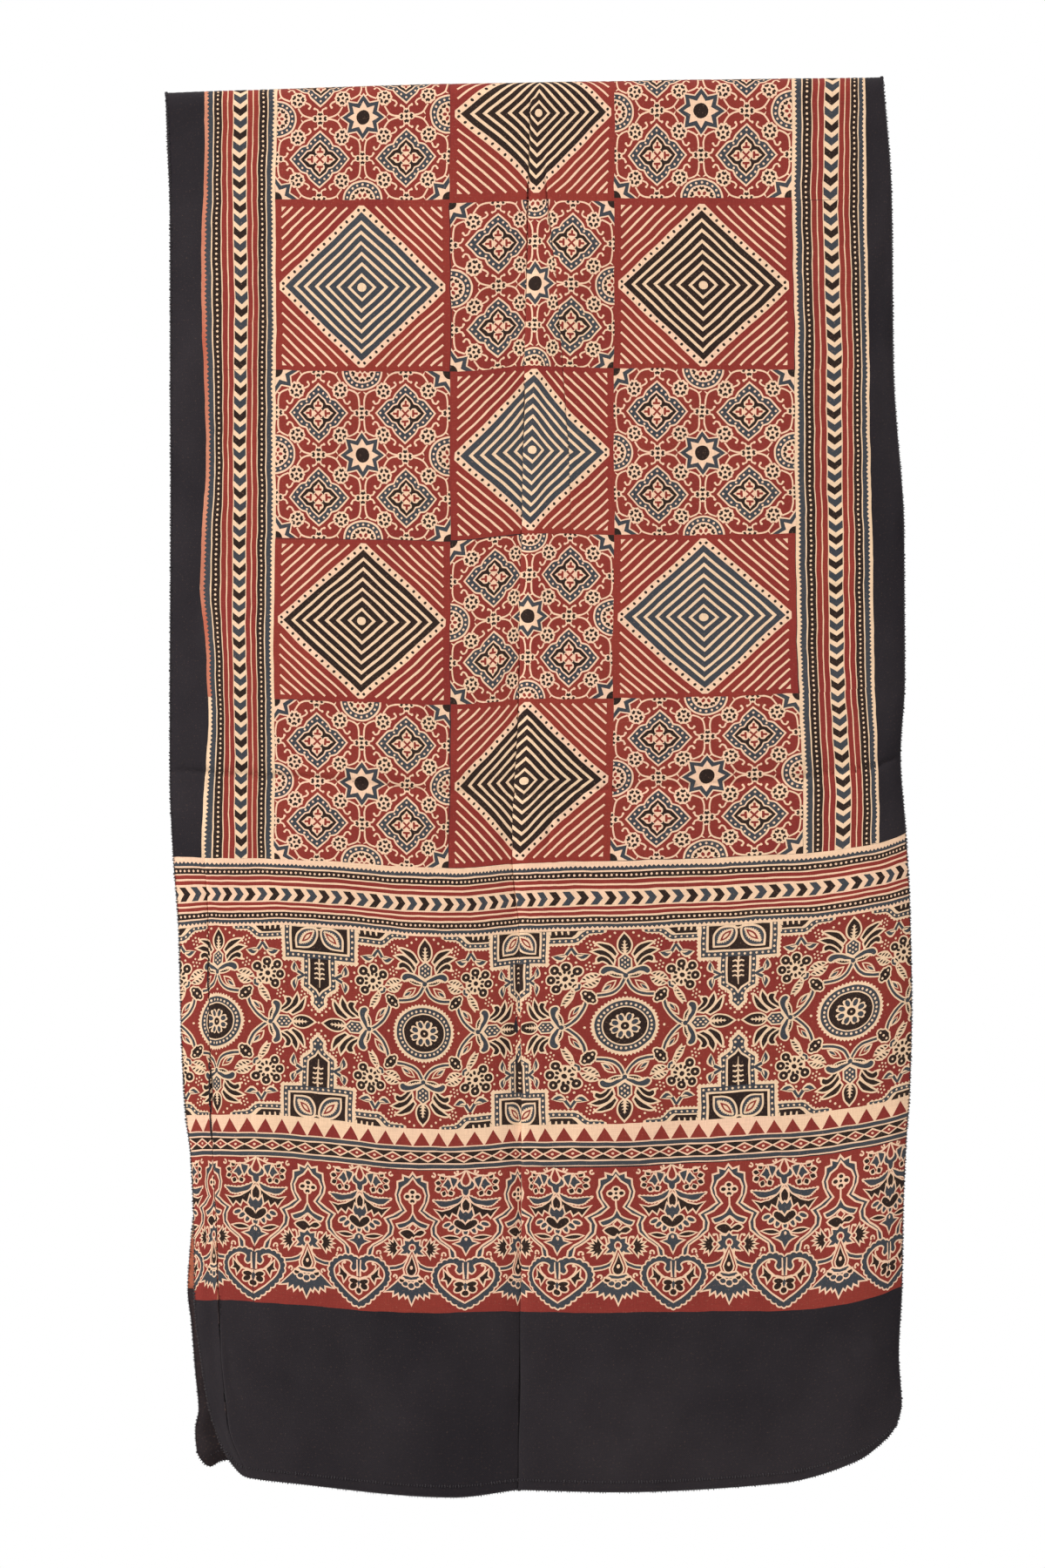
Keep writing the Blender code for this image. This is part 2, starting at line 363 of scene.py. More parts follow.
def flowerBlock():
    # origin at the middle of the block, where a star sits
    w, h = block["wide"] / 2, block["tall"] / 2
    out = [(blockEdge(w, h), "madder")]
    cell = allQuarters(vines()) + lozengeMotif()
    for sx, sy in fourWays:
        out += moved(cell, sx * w / 2, sy * h / 2)
    for fx, fy in ((0, 0.5), (0, -0.5), (0.5, 0), (-0.5, 0), (1, 0.5), (1, -0.5), (-1, 0.5), (-1, -0.5),
                   (0.5, 1), (-0.5, 1), (0.5, -1), (-0.5, -1)):
        out += floret(fx * w, fy * h)
    for cx in (-w / 2, w / 2):
        for cy in (-h / 2, h / 2):
            for k, (dx, dy) in enumerate(((-26.8, -25.6), (26.8, -25.6), (26.8, 25.2), (-26.8, 25.2))):
                out += rosette(cx + dx, cy + dy, 0.3 + k * 0.7)
    for sx, sy in ((0, 0),) + fourWays:
        out += eightStar(sx * w, sy * h)
    for sx, sy in ((1, 0), (-1, 0), (0, 1), (0, -1)):
        out += wheel(sx * w, sy * h)
    return clipped(out, -w, -h, w, h)


nest = {
    "rings": [(75.5, 71.3), (63.9, 59.7), (51.9, 47.6), (39.9, 35.8), (28.0, 23.7), (15.6, 11.7)],
    "heart": 4.8, "field": 84.2, "frame": 94.0, "dots": 89.3, "dotsPerSide": 14, "dotSize": 1.9,
    "dotsWithin": (97, 88.5), "dotsFrom": 0.045,
    "stripes": [104.6, 116.6, 128.6, 140.6, 152.6, 164.6], "stripeWidth": 2.8,
    "aspect": 1.1, "reachX": 99.2, "reachY": 91.2, "cornerX": 96.2, "cornerY": 89.4,
}


def nestBlock(ink):
    # nested diamonds, origin at the middle; radii are measured down the upright axis
    n = nest
    w, h = block["wide"] / 2, block["tall"] / 2
    out = [(blockEdge(w, h), "madderBar")]

    def diamond(r):
        corners = [(n["aspect"] * r, 0), (0, r), (-n["aspect"] * r, 0), (0, -r), (n["aspect"] * r, 0)]
        return np.vstack([evenly([a, b], 12)[:-1] for a, b in zip(corners[:-1], corners[1:])])

    out += clipped([(diamond(n["frame"]), "cream")], -n["reachX"], -n["reachY"], n["reachX"], n["reachY"])
    for k in range(n["dotsPerSide"]):
        t = (k + 0.5) / n["dotsPerSide"]
        x, y = n["aspect"] * n["dots"] * t, n["dots"] * (1 - t)
        if x > n["dotsWithin"][0] or y > n["dotsWithin"][1]:
            t = min(max(t, n["dotsFrom"]), 1 - n["dotsFrom"])
            x, y = n["aspect"] * n["dots"] * t, n["dots"] * (1 - t)
        out += allQuarters([(disc(x, y, n["dotSize"], n["dotSize"] * 0.85, 7, 0.7), "iron")])
    out.append((diamond(n["field"]), ink))
    for outside, inside in n["rings"]:
        out += [(diamond(outside), "buff"), (diamond(inside), ink)]
    out.append((disc(0, 0, n["heart"] * 1.1, n["heart"], 12), "buff"))
    stripes = []
    for r in n["stripes"]:
        run = evenly([(n["aspect"] * (r - n["cornerY"]), n["cornerY"]),
                      (n["cornerX"], r - n["cornerX"] / n["aspect"])], 14)
        stripes.append((ribbon(run, n["stripeWidth"], 0.8, 0.8), "cream"))
    x, y = n["cornerX"], n["cornerY"]
    stripes.append((np.array([(x, y), (x - 5.5, y), (x, y - 5.5)]), "cream"))
    return out + allQuarters(stripes)


# the running borders, measured in from their outer edge; bands are (far edge, ink)
sideBorder = {"wide": 87.0, "solid": 3.1, "teeth": 5.6, "inner": 84.0, "innerTeeth": 81.4, "toothPitch": 5.1,
              "dotLines": (16.6, 70.5), "dotPitch": 5.75, "dotSize": 1.35, "chevronFrom": 35.9,
              "chevronTo": 51.1, "chevronPitch": 14.6, "chevronThick": 8.4, "chevronDepth": 6.0,
              "bands": [(10.5, "indigo"), (12.1, "cream"), (21.3, "iron"), (22.6, "cream"),
                        (28.0, "madderBar"), (29.4, "cream"), (34.7, "madderBar"), (52.3, "cream"),
                        (57.7, "madderBar"), (59.1, "cream"), (64.5, "madderBar"), (65.8, "cream"),
                        (75.0, "iron"), (76.6, "cream"), (83.8, "indigo")]}
crossBorder = {"wide": 78.0, "solid": 5.1, "teeth": 7.6, "inner": 76.0, "innerTeeth": 73.4, "toothPitch": 5.1,
               "dotLines": (15.8, 65.6), "dotPitch": 5.7, "dotSize": 1.4, "chevronFrom": 34.2,
               "chevronTo": 49.0, "chevronPitch": 14.8, "chevronThick": 7.8, "chevronDepth": 5.8,
               "bands": [(10.2, "indigo"), (12.4, "cream"), (19.1, "iron"), (20.9, "cream"),
                         (25.0, "madderBar"), (27.4, "cream"), (31.3, "madderBar"), (50.9, "cream"),
                         (54.2, "madderBar"), (56.4, "cream"), (60.0, "madderBar"), (62.4, "cream"),
                         (68.9, "iron"), (70.8, "cream"), (76.0, "indigo")]}


def strip(x0, y0, x1, y1, ink):
    # a straight band, cut into short steps so that the cloth can bend it
    if y1 - y0 > x1 - x0:
        long = evenly([(x0, y0), (x0, y1)], 7)
        return np.vstack([long, long[::-1] + (x1 - x0, 0)]), ink
    long = evenly([(x0, y0), (x1, y0)], 7)
    return np.vstack([long, long[::-1] + (0, y1 - y0)]), ink


def sawTeeth(y0, y1, x, tip, pitch, ink):
    # a run of small teeth down the cloth, standing on the line at x and pointing at tip
    count = round((y1 - y0) / pitch)
    ys = np.linspace(y0, y1, 2 * count + 1)
    xs = np.where(np.arange(2 * count + 1) % 2 == 0, x, tip)
    back = x - 0.5 if tip > x else x + 0.5
    return np.vstack([np.stack([xs, ys], 1), [(back, y1), (back, y0)]]), ink


def runningBorder(y0, y1, s=sideBorder, outer="rust", first=0):
    # a border running down the cloth from y0 to y1, its outer edge at x = 0, its chevrons pointing down
    out = [strip(0, y0, s["wide"], y1, "cream"), strip(0, y0, s["solid"], y1, outer)]
    last = s["solid"]
    for far, ink in s["bands"]:
        if ink != "cream":
            out.append(strip(last, y0, far, y1, ink))
        last = far
    out.append(sawTeeth(y0, y1, s["solid"], s["teeth"], s["toothPitch"], outer))
    out.append(sawTeeth(y0, y1, s["inner"], s["innerTeeth"], s["toothPitch"], "cream"))
    count = round((y1 - y0) / s["dotPitch"])
    for x in s["dotLines"]:
        out += dots([(x, y0 + (k + 0.5) * (y1 - y0) / count) for k in range(count)], s["dotSize"], sides=7)
    count = round((y1 - y0) / s["chevronPitch"])
    pitch = (y1 - y0) / count
    a, b, mid = s["chevronFrom"], s["chevronTo"], (s["chevronFrom"] + s["chevronTo"]) / 2
    thick, deep = s["chevronThick"], s["chevronDepth"]
    for k in range(count):
        y = y0 + k * pitch + (pitch - thick - deep) / 2
        vee = np.array([(a, y), (mid, y + deep), (b, y), (b, y + thick), (mid, y + deep + thick),
                        (a, y + thick)])
        out.append((vee, "iron" if (k + first) % 2 else "indigo"))
    return out


def acrossBorder(x0, x1):
    # the end border runs across the cloth, its chevrons pointing right
    return [(p[:, ::-1], ink) for p, ink in runningBorder(x0, x1, crossBorder, "cream")]


# the medallion band: one quarter is drawn, x right and y away from the middle line, and mirrored
medallionBand = {"repeat": 252.3, "tall": 222.0, "drawnHalf": 130.1}


def bigWheel():
    out = [(toothed(evenly(disc(0, 0, 37.2, 32.2, 60), 4.4, True), 4.4, 2.3), "cream"),
           (disc(0, 0, 34.4, 29.4, 56), "indigo"), (disc(0, 0, 26.9, 22.8, 48), "cream")]
    out += dots([(30.3 * math.cos(a), 25.7 * math.sin(a)) for a in np.arange(33) * 2 * math.pi / 33], 1.5,
                sides=7)
    out.append((disc(0, 0, 25.2, 21.2, 44), "iron"))
    crown = []
    for k in range(8):
        for turn, r in ((-22.5, 12.4), (-15, 17.2), (-8, 18.4), (0, 17.0), (8, 18.4), (15, 17.2)):
            a = math.radians(22.5 + 45 * k + turn)
            crown.append((r * math.cos(a), r * 0.83 * math.sin(a)))
    out.append((np.array(crown), "cream"))
    for k in range(8):
        a = math.radians(22.5 + 45 * k)
        tilt = math.atan2(0.83 * math.sin(a), math.cos(a))
        out.append((disc(12.2 * math.cos(a), 10.3 * math.sin(a), 3.9, 2.7, 9, tilt), "indigo"))
    return out + [(disc(0, 0, 7.0, 6.2, 14), "cream"),
                  (disc(0, 0, 5.0, 4.5, 12), "iron")] + dots([(0, 0)], 1.2)


def palmette():
    # the upright palmette, its right half drawn; y grows away from the medallion
    side = []
    for line in ([(9.5, 83), (9.5, 83), (16, 92), (26, 95.4), (32.5, 95.6), (32.5, 95.6), (27, 91.8),
                  (18, 86), (11.5, 80.4), (11.5, 80.4)],
                 [(12.5, 76), (12.5, 76), (19.5, 84), (29, 88.4), (37.6, 86.8), (37.6, 86.8), (30, 83),
                  (20.5, 77.4), (14, 71), (14, 71)]):
        shape = curve(line, 3)
        side += [(grow(shape, 1.9), "cream"), (grow(shape, -0.3), "iron")]
    bulb = curve([(15, 69.6), (15, 69.6), (21, 77), (28, 80.4), (32.6, 78), (31.6, 74.2), (27, 75.6),
                  (21, 72.4), (16.6, 67), (16.6, 67)], 3)
    side += [(grow(bulb, 2.0), "cream"), (almond((31.5, 76), (35.2, 71.6), 4.5), "cream"), (bulb, "iron")]
    leaf = curve(mirroredOutline([(0, 106.5), (0, 106.5), (5.4, 100), (7.4, 93), (5.6, 87), (0, 83.4)]), 3)
    middle = edged(leaf, "iron", 2.1) + [(ribbon([(0, 80), (0, 92), (0, 99)], 2.6, 1.6, 0.4), "cream")]
    for y, reach in ((85.5, 4.4), (89.0, 4.6), (92.5, 3.6), (96.0, 2.2)):
        middle.append((np.array([(-reach, y + 1.8), (0, y - 1.0), (reach, y + 1.8), (0, y + 1.6)]), "cream"))
    middle += edged(mirroredOutline([(0, 64), (6.6, 68.2), (6.6, 76.8), (0, 81.8)]), "indigo", 2.0)
    middle += dots(((0, 67.6), (3.5, 70.2), (-3.5, 70.2), (0, 72.9), (3.5, 75.6), (-3.5, 75.6),
                    (0, 78.3)), 1.35)
    sliver = almond((4.5, 56.4), (19.5, 60.4), 4.2, 0.8)
    wing = curve([(0, 56.6), (0, 56.6), (3.4, 59.4), (9.6, 60.8), (15.6, 63.2), (21.4, 62.4), (25.2, 60.2),
                  (28.2, 62.4), (26.2, 66.6), (20.6, 68.2), (12.6, 66.6), (5.4, 63.0), (0, 60.0),
                  (0, 60.0)], 3)
    wings = edged(sliver, "iron", 1.6) + [(grow(wing, 2.0), "cream")]
    wings += [(star(x, y, 2.0, 1.4, 4), "cream")
              for x, y in evenly([(6.5, 59.2), (15, 61.2), (22, 60.2)], 3.2)]
    wings.append((wing, "indigo"))
    return leftToo(side), middle, leftToo(wings)


def medallionQuarter():
    out = []
    for line in ([(0, 57), (2.6, 51.6), (7.0, 44.6), (14.4, 39.4), (24, 37.0), (33, 36.4)],
                 [(67.0, 0), (60.5, 3.4), (51.6, 11.6), (46.0, 20.4), (43.6, 28.5)]):
        vine = curve(line, 3, False)
        out += [(ribbon(vine, 6.2), "cream"), (ribbon(vine, 2.6), "indigo")]
    vineLeaf = {"wide": 8.2, "inside": ((0.14, 0.88, -2.4, "madder"), (0.04, 0.66, -3.6, "cream"),
                                        (0.14, 0.58, -5.4, "indigo"))}
    for start, end in (((27.6, 40.6), (10.0, 52.8)), ((47.8, 26.4), (61.6, 9.6))):
        out.append((almond(start, end, vineLeaf["wide"] + 1.6), "cream"))
        a, b = np.array(start), np.array(end)
        for low, high, less, ink in vineLeaf["inside"]:
            out.append((almond(a + (b - a) * low, a + (b - a) * high, vineLeaf["wide"] + less), ink))
    # striped leaf pairs beside the flower's stalk
    for start, end, bend in (((50.4, 51.2), (27.6, 59.8), -2.2), ((49.0, 47.2), (27.4, 56.6), 2.6),
                             ((53.4, 42.0), (64.6, 22.4), 2.6), ((58.6, 44.0), (69.6, 24.6), -2.4)):
        out.append((almond(start, end, 9.4, bend), "cream"))
        a, b = np.array(start), np.array(end)
        across = np.array([-(b - a)[1], (b - a)[0]]) / math.hypot(*(b - a))
        for share, size in ((0.24, 2.4), (0.42, 3.6), (0.60, 3.5), (0.77, 2.4)):
            spot = a + (b - a) * share + across * bend * 4 * share * (1 - share)
            slant = (b - a) / math.hypot(*(b - a)) * 1.6
            out.append((almond(spot - across * size * 0.66 - slant, spot + across * size * 0.66 + slant, 1.9,
                               0, 0.5, 3), "iron"))
    # the flower
    out.append((disc(65, 56, 13.2, 12.6, 24), "cream"))
    petals = ((52.4, 64.1), (64.2, 69.2), (76.7, 65.8), (80.4, 54.8), (74.3, 44.6))
    out += [(disc(x, y, 6.9, 6.7, 14), "cream") for x, y in petals]
    for x, y in petals:
        out += [(disc(x, y, 5.1, 4.8, 12), "iron")] + dots([(x, y)], 1.45)
    for k in range(10):
        a = k * math.pi / 5 + 0.2
        out.append((disc(65 + 8.3 * math.cos(a), 56 + 8.0 * math.sin(a), 2.5, 1.7, 6, a), "iron"))
    out += [(disc(65, 56, 5.6, 5.2, 10), "cream"), (disc(65, 56, 3.1, 2.7, 8, -0.6), "iron")]
    out += [(disc(53.4, 46.6, 6.2, 5.2, 10, -0.7), "cream"),
            (ribbon([(50.0, 49.6), (50.6, 45.0), (54.6, 43.2)], 2.6), "indigo"),
            (ribbon([(53.4, 49.6), (55.8, 48.4), (57.0, 46.2)], 1.5), "iron")]
    # the lobed knot where the vines meet
    knot = [(40.2 + r * math.cos(a + 0.785), 34.8 + r * math.sin(a + 0.785)) for a, r in
            zip(np.arange(24) * math.pi / 12,
                [9.2, 8.6, 6.6, 6.4, 6.4, 5.4, 5.7, 5.4, 6.4, 6.4, 6.6, 8.6] * 2)]
    out += edged(curve(knot, 1), "iron", 1.9)
    out += dots([(40.2 + d, 34.8 + d) for d in (-3.9, 0, 3.9)], 1.45)
    # leaf pairs, each hanging from a small peaked stalk
    for peak, legs, ends in (((58.8, 91.6), ((53.6, 83.6), (64.2, 83.4)),
                              (((56.0, 84.4), (38.6, 83.6), 3.2), ((61.8, 84.2), (80.6, 82.0), -3.2))),
                             ((110.4, 54.2), ((102.4, 58.4), (102.4, 49.8)),
                              (((103.2, 56.0), (97.4, 70.6), 2.6), ((103.0, 52.2), (98.8, 35.4), -2.8)))):
        out += [(ribbon([leg, peak], 6.4, 0.9, 1.1), "cream") for leg in legs]
        for start, end, bend in ends:
            a, b = np.array(start), np.array(end)
            out.append((almond(start, end, 9.6, bend, 0.46), "cream"))
            out.append((almond(a + (b - a) * 0.12, a + (b - a) * 0.88, 5.8, bend * 0.8, 0.46), "indigo"))
            out.append((almond(a + (b - a) * 0.04, a + (b - a) * 0.6, 2.0, bend * 0.5), "cream"))
        out += [(ribbon([leg, peak], 3.0, 1.1, 0.8), "indigo") for leg in legs]
    for x, y in ((38.4, 94.8), (39.6, 69.6), (81, 33.6), (111.3, 32.4)):
        out += cluster(x, y)
    return out + dots(((61.6, 79), (54.2, 74), (73.4, 75), (87.2, 63), (91.2, 53), (85.4, 46), (11, 107.6),
                       (16.8, 103.4), (22.6, 99.8), (116.8, 19), (121.2, 14), (126.2, 9)), 1.5)


def stepCornice():
    # the stepped dotted line with its comb, between a medallion and a niche
    path = [(24, 110.2), (40.4, 109.6), (45.6, 107.0), (51.4, 101.4), (55.4, 99.8), (90, 99.8)]
    belly = [(20, 112), (24.6, 107.2), (40.0, 106.0), (43.6, 103.6), (49.8, 97.4), (54.6, 95.2), (90, 95.2),
             (90, 112)]
    out = [(toothed(belly, 4.6, 1.7), "cream"), (ribbon(path, 4.6), "indigo")]
    out += dotsOn([(28.6, 110.0)] + path[1:-1] + [(84.4, 99.8)], 6.9, 1.35)
    teeth = [(50.6, 111.6), (54.2, 107.2), (58.4, 104.0)]
    teeth += [(87.2, 104.0), (88.8, 107.6), (87.4, 111.6)]
    for x in (84.0, 77.2, 70.4, 63.6):
        teeth += [(x, 111.6), (x - 1.0, 106.8), (x - 3.0, 106.8), (x - 3.2, 111.6)]
    return out + [(np.array(teeth), "iron")]


def niche():
    # centred on its own axis; y falls from the band's edge at 111 towards the middle line
    boxOut = [(-46.4, 112), (-46.4, 71.2), (46.4, 71.2), (46.4, 112)]
    stem = [(-22.6, 75), (-22.6, 40.8), (-21, 38.8), (-13.2, 35.0), (-9.8, 31.0), (-9.6, 25.4), (-10.0, 21.6),
            (-5.4, 17.0), (0, 11.4)]
    shaft = [(-19.4, 75), (-19.4, 41.6), (-13.0, 37.8), (-8.0, 33.8), (-6.2, 29.4), (-6.0, 25.6),
             (-6.8, 22.4), (0, 16.2)]
    out = [(toothed(boxOut, 4.6, 1.8), "cream"), (toothed(mirroredOutline(stem), 4.0, 1.7), "cream"),
           (mirroredOutline(shaft), "indigo")]
    out += [(mirroredOutline([(-14.2, 75), (-14.2, 43.6), (-10.4, 40.6), (-4.2, 36.6), (0, 30.4)]), "cream"),
            (mirroredOutline([(-11.8, 75), (-11.8, 44.6), (-8.6, 42.2), (-3.2, 38.8), (0, 34.6)]), "iron"),
            (ribbon([(0, 76), (0, 58), (0, 41.4)], 2.2, 1, 0.5), "cream")]
    for y in (69.6, 63.8, 58.0, 52.4):
        out.append((ribbon([(-6.4, y - 0.8), (-3.4, y + 0.2), (0, y - 1.4), (3.4, y + 0.2), (6.4, y - 0.8)],
                           1.9, 0.9, 0.9), "cream"))
    for s in (1, -1):
        out += dotsOn([(16.8 * s, 70.6), (16.8 * s, 43.2), (11.2 * s, 39.0), (4.8 * s, 33.0),
                       (3.6 * s, 24.2)], 6.3, 1.45)
    out += dots([(0, 20.2)], 1.45)
    for x, top, low, ink in ((42.8, 112, 74.4, "indigo"), (37.2, 112, 80.0, "cream"),
                             (34.2, 110.2, 82.4, "iron")):
        out.append((np.array([(-x, top), (-x, low), (x, low), (x, top)]), ink))
    for x in (-40, 40):
        out += dotsOn([(x, 109.4), (x, 77.2)], 6.0, 1.5)
    out += dotsOn([(-33.6, 77.2), (33.6, 77.2)], 6.7, 1.5)
    eye = curve([(2.4, 108.6), (1.6, 100), (5.6, 91), (14, 85.6), (29.6, 84.9), (29.6, 84.9), (29.9, 97),
                 (26.4, 104.6), (19, 109.6), (9, 110.6)], 3)
    inside = curve([(4.4, 106.6), (4.2, 99.6), (7.8, 92.2), (15, 87.6), (27.2, 87.0), (27.2, 87.0),
                    (27.5, 97), (24.2, 103.2), (17.8, 107.4), (9.4, 108.2)], 3)
    seed = almond((6.0, 106.6), (25.0, 90.0), 11.5)
    for s in (1, -1):
        flip = np.array([s, 1])
        out += [(eye * flip, "cream"), (inside * flip, "indigo"),
                (toothed(grow(seed * flip, -0.3), 2.2, 1.5), "cream"),
                (almond((8.0 * s, 104.8), (21.4 * s, 92.6), 6.6), "madder"),
                (almond((10.6 * s, 102.2), (18.6 * s, 95.0), 3.2), "cream")]
    out.append((ribbon([(-4.6, 112), (-4, 108.8), (0, 107.4), (4, 108.8), (4.6, 112)], 1.9), "cream"))
    return out


def medallionRepeat():
    # origin at a medallion's middle, from one niche's axis to the next
    w, h = medallionBand["repeat"] / 2, medallionBand["tall"] / 2
    fit = w / medallionBand["drawnHalf"]
    out = [strip(-w, -h, w, h, "madder")]
    out += clipped(moved(allQuarters(stepCornice()), wide=fit), -w, -h, w, h)
    half = niche()
    both = half + moved(half, tall=-1)
    out += clipped(moved(both, w, 0, fit) + moved(both, -w, 0, fit), -w, -h, w, h)
    out += moved(allQuarters(medallionQuarter()), wide=fit)
    feathers, middle, wings = palmette()
    upright = feathers + middle + wings
    out += moved(upright, wide=fit) + moved(upright, wide=fit, tall=-1)
    lying = [(np.stack([68.3 + (p[:, 1] - 57.0) * 1.13, p[:, 0] * 0.86], 1), ink) for p, ink in upright]
    out += moved(lying, wide=fit) + moved(lying, wide=-fit)
    for s in (1, -1):
        out += dots(((0, 38.0 * s), (43.2 * s, 0)), 1.5)
        out += dots([(0, 57.6 * s)], 2.7, "indigo", 8) + dots([(66.6 * s, 0)], 2.6, "indigo", 8)
    return out + dots([(w, 0), (-w, 0)], 1.5) + moved(bigWheel(), wide=fit)


# below the medallions: a row of triangles, a chain of small diamonds, then the hearts and arches
triangleRow = {"tall": 20.0, "pitch": 21.03, "base": 20.2, "height": 16.2}
chainRow = {"tall": 28.0, "pitch": 21.03, "bands": [(1.4, "cream"), (5.6, "indigo"), (7.2, "cream"),
            (20.4, "iron"), (22.1, "cream"), (26.6, "indigo"), (28.0, "cream")], "wide": 20.4, "high": 9.0}
heartRow = {"repeat": 126.15, "tall": 167.0}


def triangles(x0, x1, start):
    t = triangleRow
    out = [strip(x0, 0, x1, t["tall"], "cream")]
    x = start
    while x < x1 + t["pitch"]:
        out.append((np.array([(x - t["base"] / 2, t["tall"]), (x, t["tall"] - t["height"]),
                              (x + t["base"] / 2, t["tall"])]), "madder"))
        x += t["pitch"]
    return clipped(out, x0, 0, x1, t["tall"])


def chain(x0, x1, start):
    c = chainRow
    out, last = [strip(x0, 0, x1, c["tall"], "cream")], 0.0
    for far, ink in c["bands"]:
        if ink != "cream":
            out.append(strip(x0, last, x1, far, ink))
        last = far
    x, y, w, h = start, 13.8, c["wide"] / 2, c["high"] / 2
    while x < x1 + c["pitch"]:
        link = np.array([(x - w - 1.4, y), (x, y - h - 1.5), (x + w + 1.4, y), (x, y + h + 1.5)])
        out += [(link, "cream"),
                (np.array([(x - w + 1.6, y), (x, y - h + 0.6), (x + w - 1.6, y), (x, y + h - 0.6)]),
                 "madder"), (disc(x, y, 1.7, 1.4, 6), "cream")]
        x += c["pitch"]
    return clipped(out, x0, 0, x1, c["tall"])


def heart():
    # y runs down from the chain's lower edge
    outer = [(0, 108.5), (0, 108.5), (5.5, 104.0), (14.5, 103.0), (25, 106.0), (33, 112.0), (37.6, 120.5),
             (37.4, 129.0), (33.4, 137.6), (24, 147.4), (12, 157.6), (0, 165.0), (0, 165.0)]
    even = evenly(curve(mirroredOutline(outer), 4), 7.6, True)
    out = [(toothed(even, 7.6, 1.9, True), "cream"), (toothed(grow(even, -2.0), 7.6, 1.9, True), "indigo")]
    inner = [(0, 122), (2.6, 119), (6.6, 121.4), (9.4, 118.0), (7.8, 112.8), (12.4, 109.4), (20, 110.0),
             (27, 114.6), (31.0, 121.4), (30.6, 128.6), (27, 135.4), (14, 147.6), (0, 157.2), (0, 157.2)]
    shape = curve(mirroredOutline(inner), 3)
    out += [(shape, "cream"), (grow(shape, -1.9), "madder")]
    out += [(ribbon([(0, 109), (0, 118), (0, 128)], 6.4), "cream"),
            (ribbon([(0, 108), (0, 118), (0, 128.6)], 3.0, 1.2, 0.5), "indigo")]
    stems = hook([(1.5, 131), (9, 129), (18, 121), (20.5, 114.5), (17.4, 112.6)], 1.7, 1.9)
    tulip = curve([(14, 127.4), (14, 127.4), (18, 124.4), (23.4, 118.4), (23.4, 118.4), (22.6, 125.4),
                   (25, 128), (20.4, 128.6), (19, 134.6), (19, 134.6), (16.4, 130.4)], 2)
    stems += edged(tulip, "iron", 1.9)
    stems.append((ribbon([(1, 130.4), (8, 128.2), (15, 127.8)], 1.8), "cream"))
    out += leftToo(stems)
    petals = ((-6.4, 133.8, 5.0, 2.7, 0.1), (6.4, 133.8, 5.0, 2.7, -0.1), (-7.0, 139.4, 4.4, 3.2, -0.5),
              (7.0, 139.4, 4.4, 3.2, 0.5), (0, 144.4, 3.6, 3.2, 0))
    out += [(disc(x, y, rx + 1.8, ry + 1.8, 12, turn), "cream") for x, y, rx, ry, turn in petals]
    out += [(disc(x, y, rx, ry, 12, turn), "iron") for x, y, rx, ry, turn in petals]
    return out + [(almond((0, 131), (0, 141), 3.4), "indigo")] + dots([(0, 130.6)], 2.0)


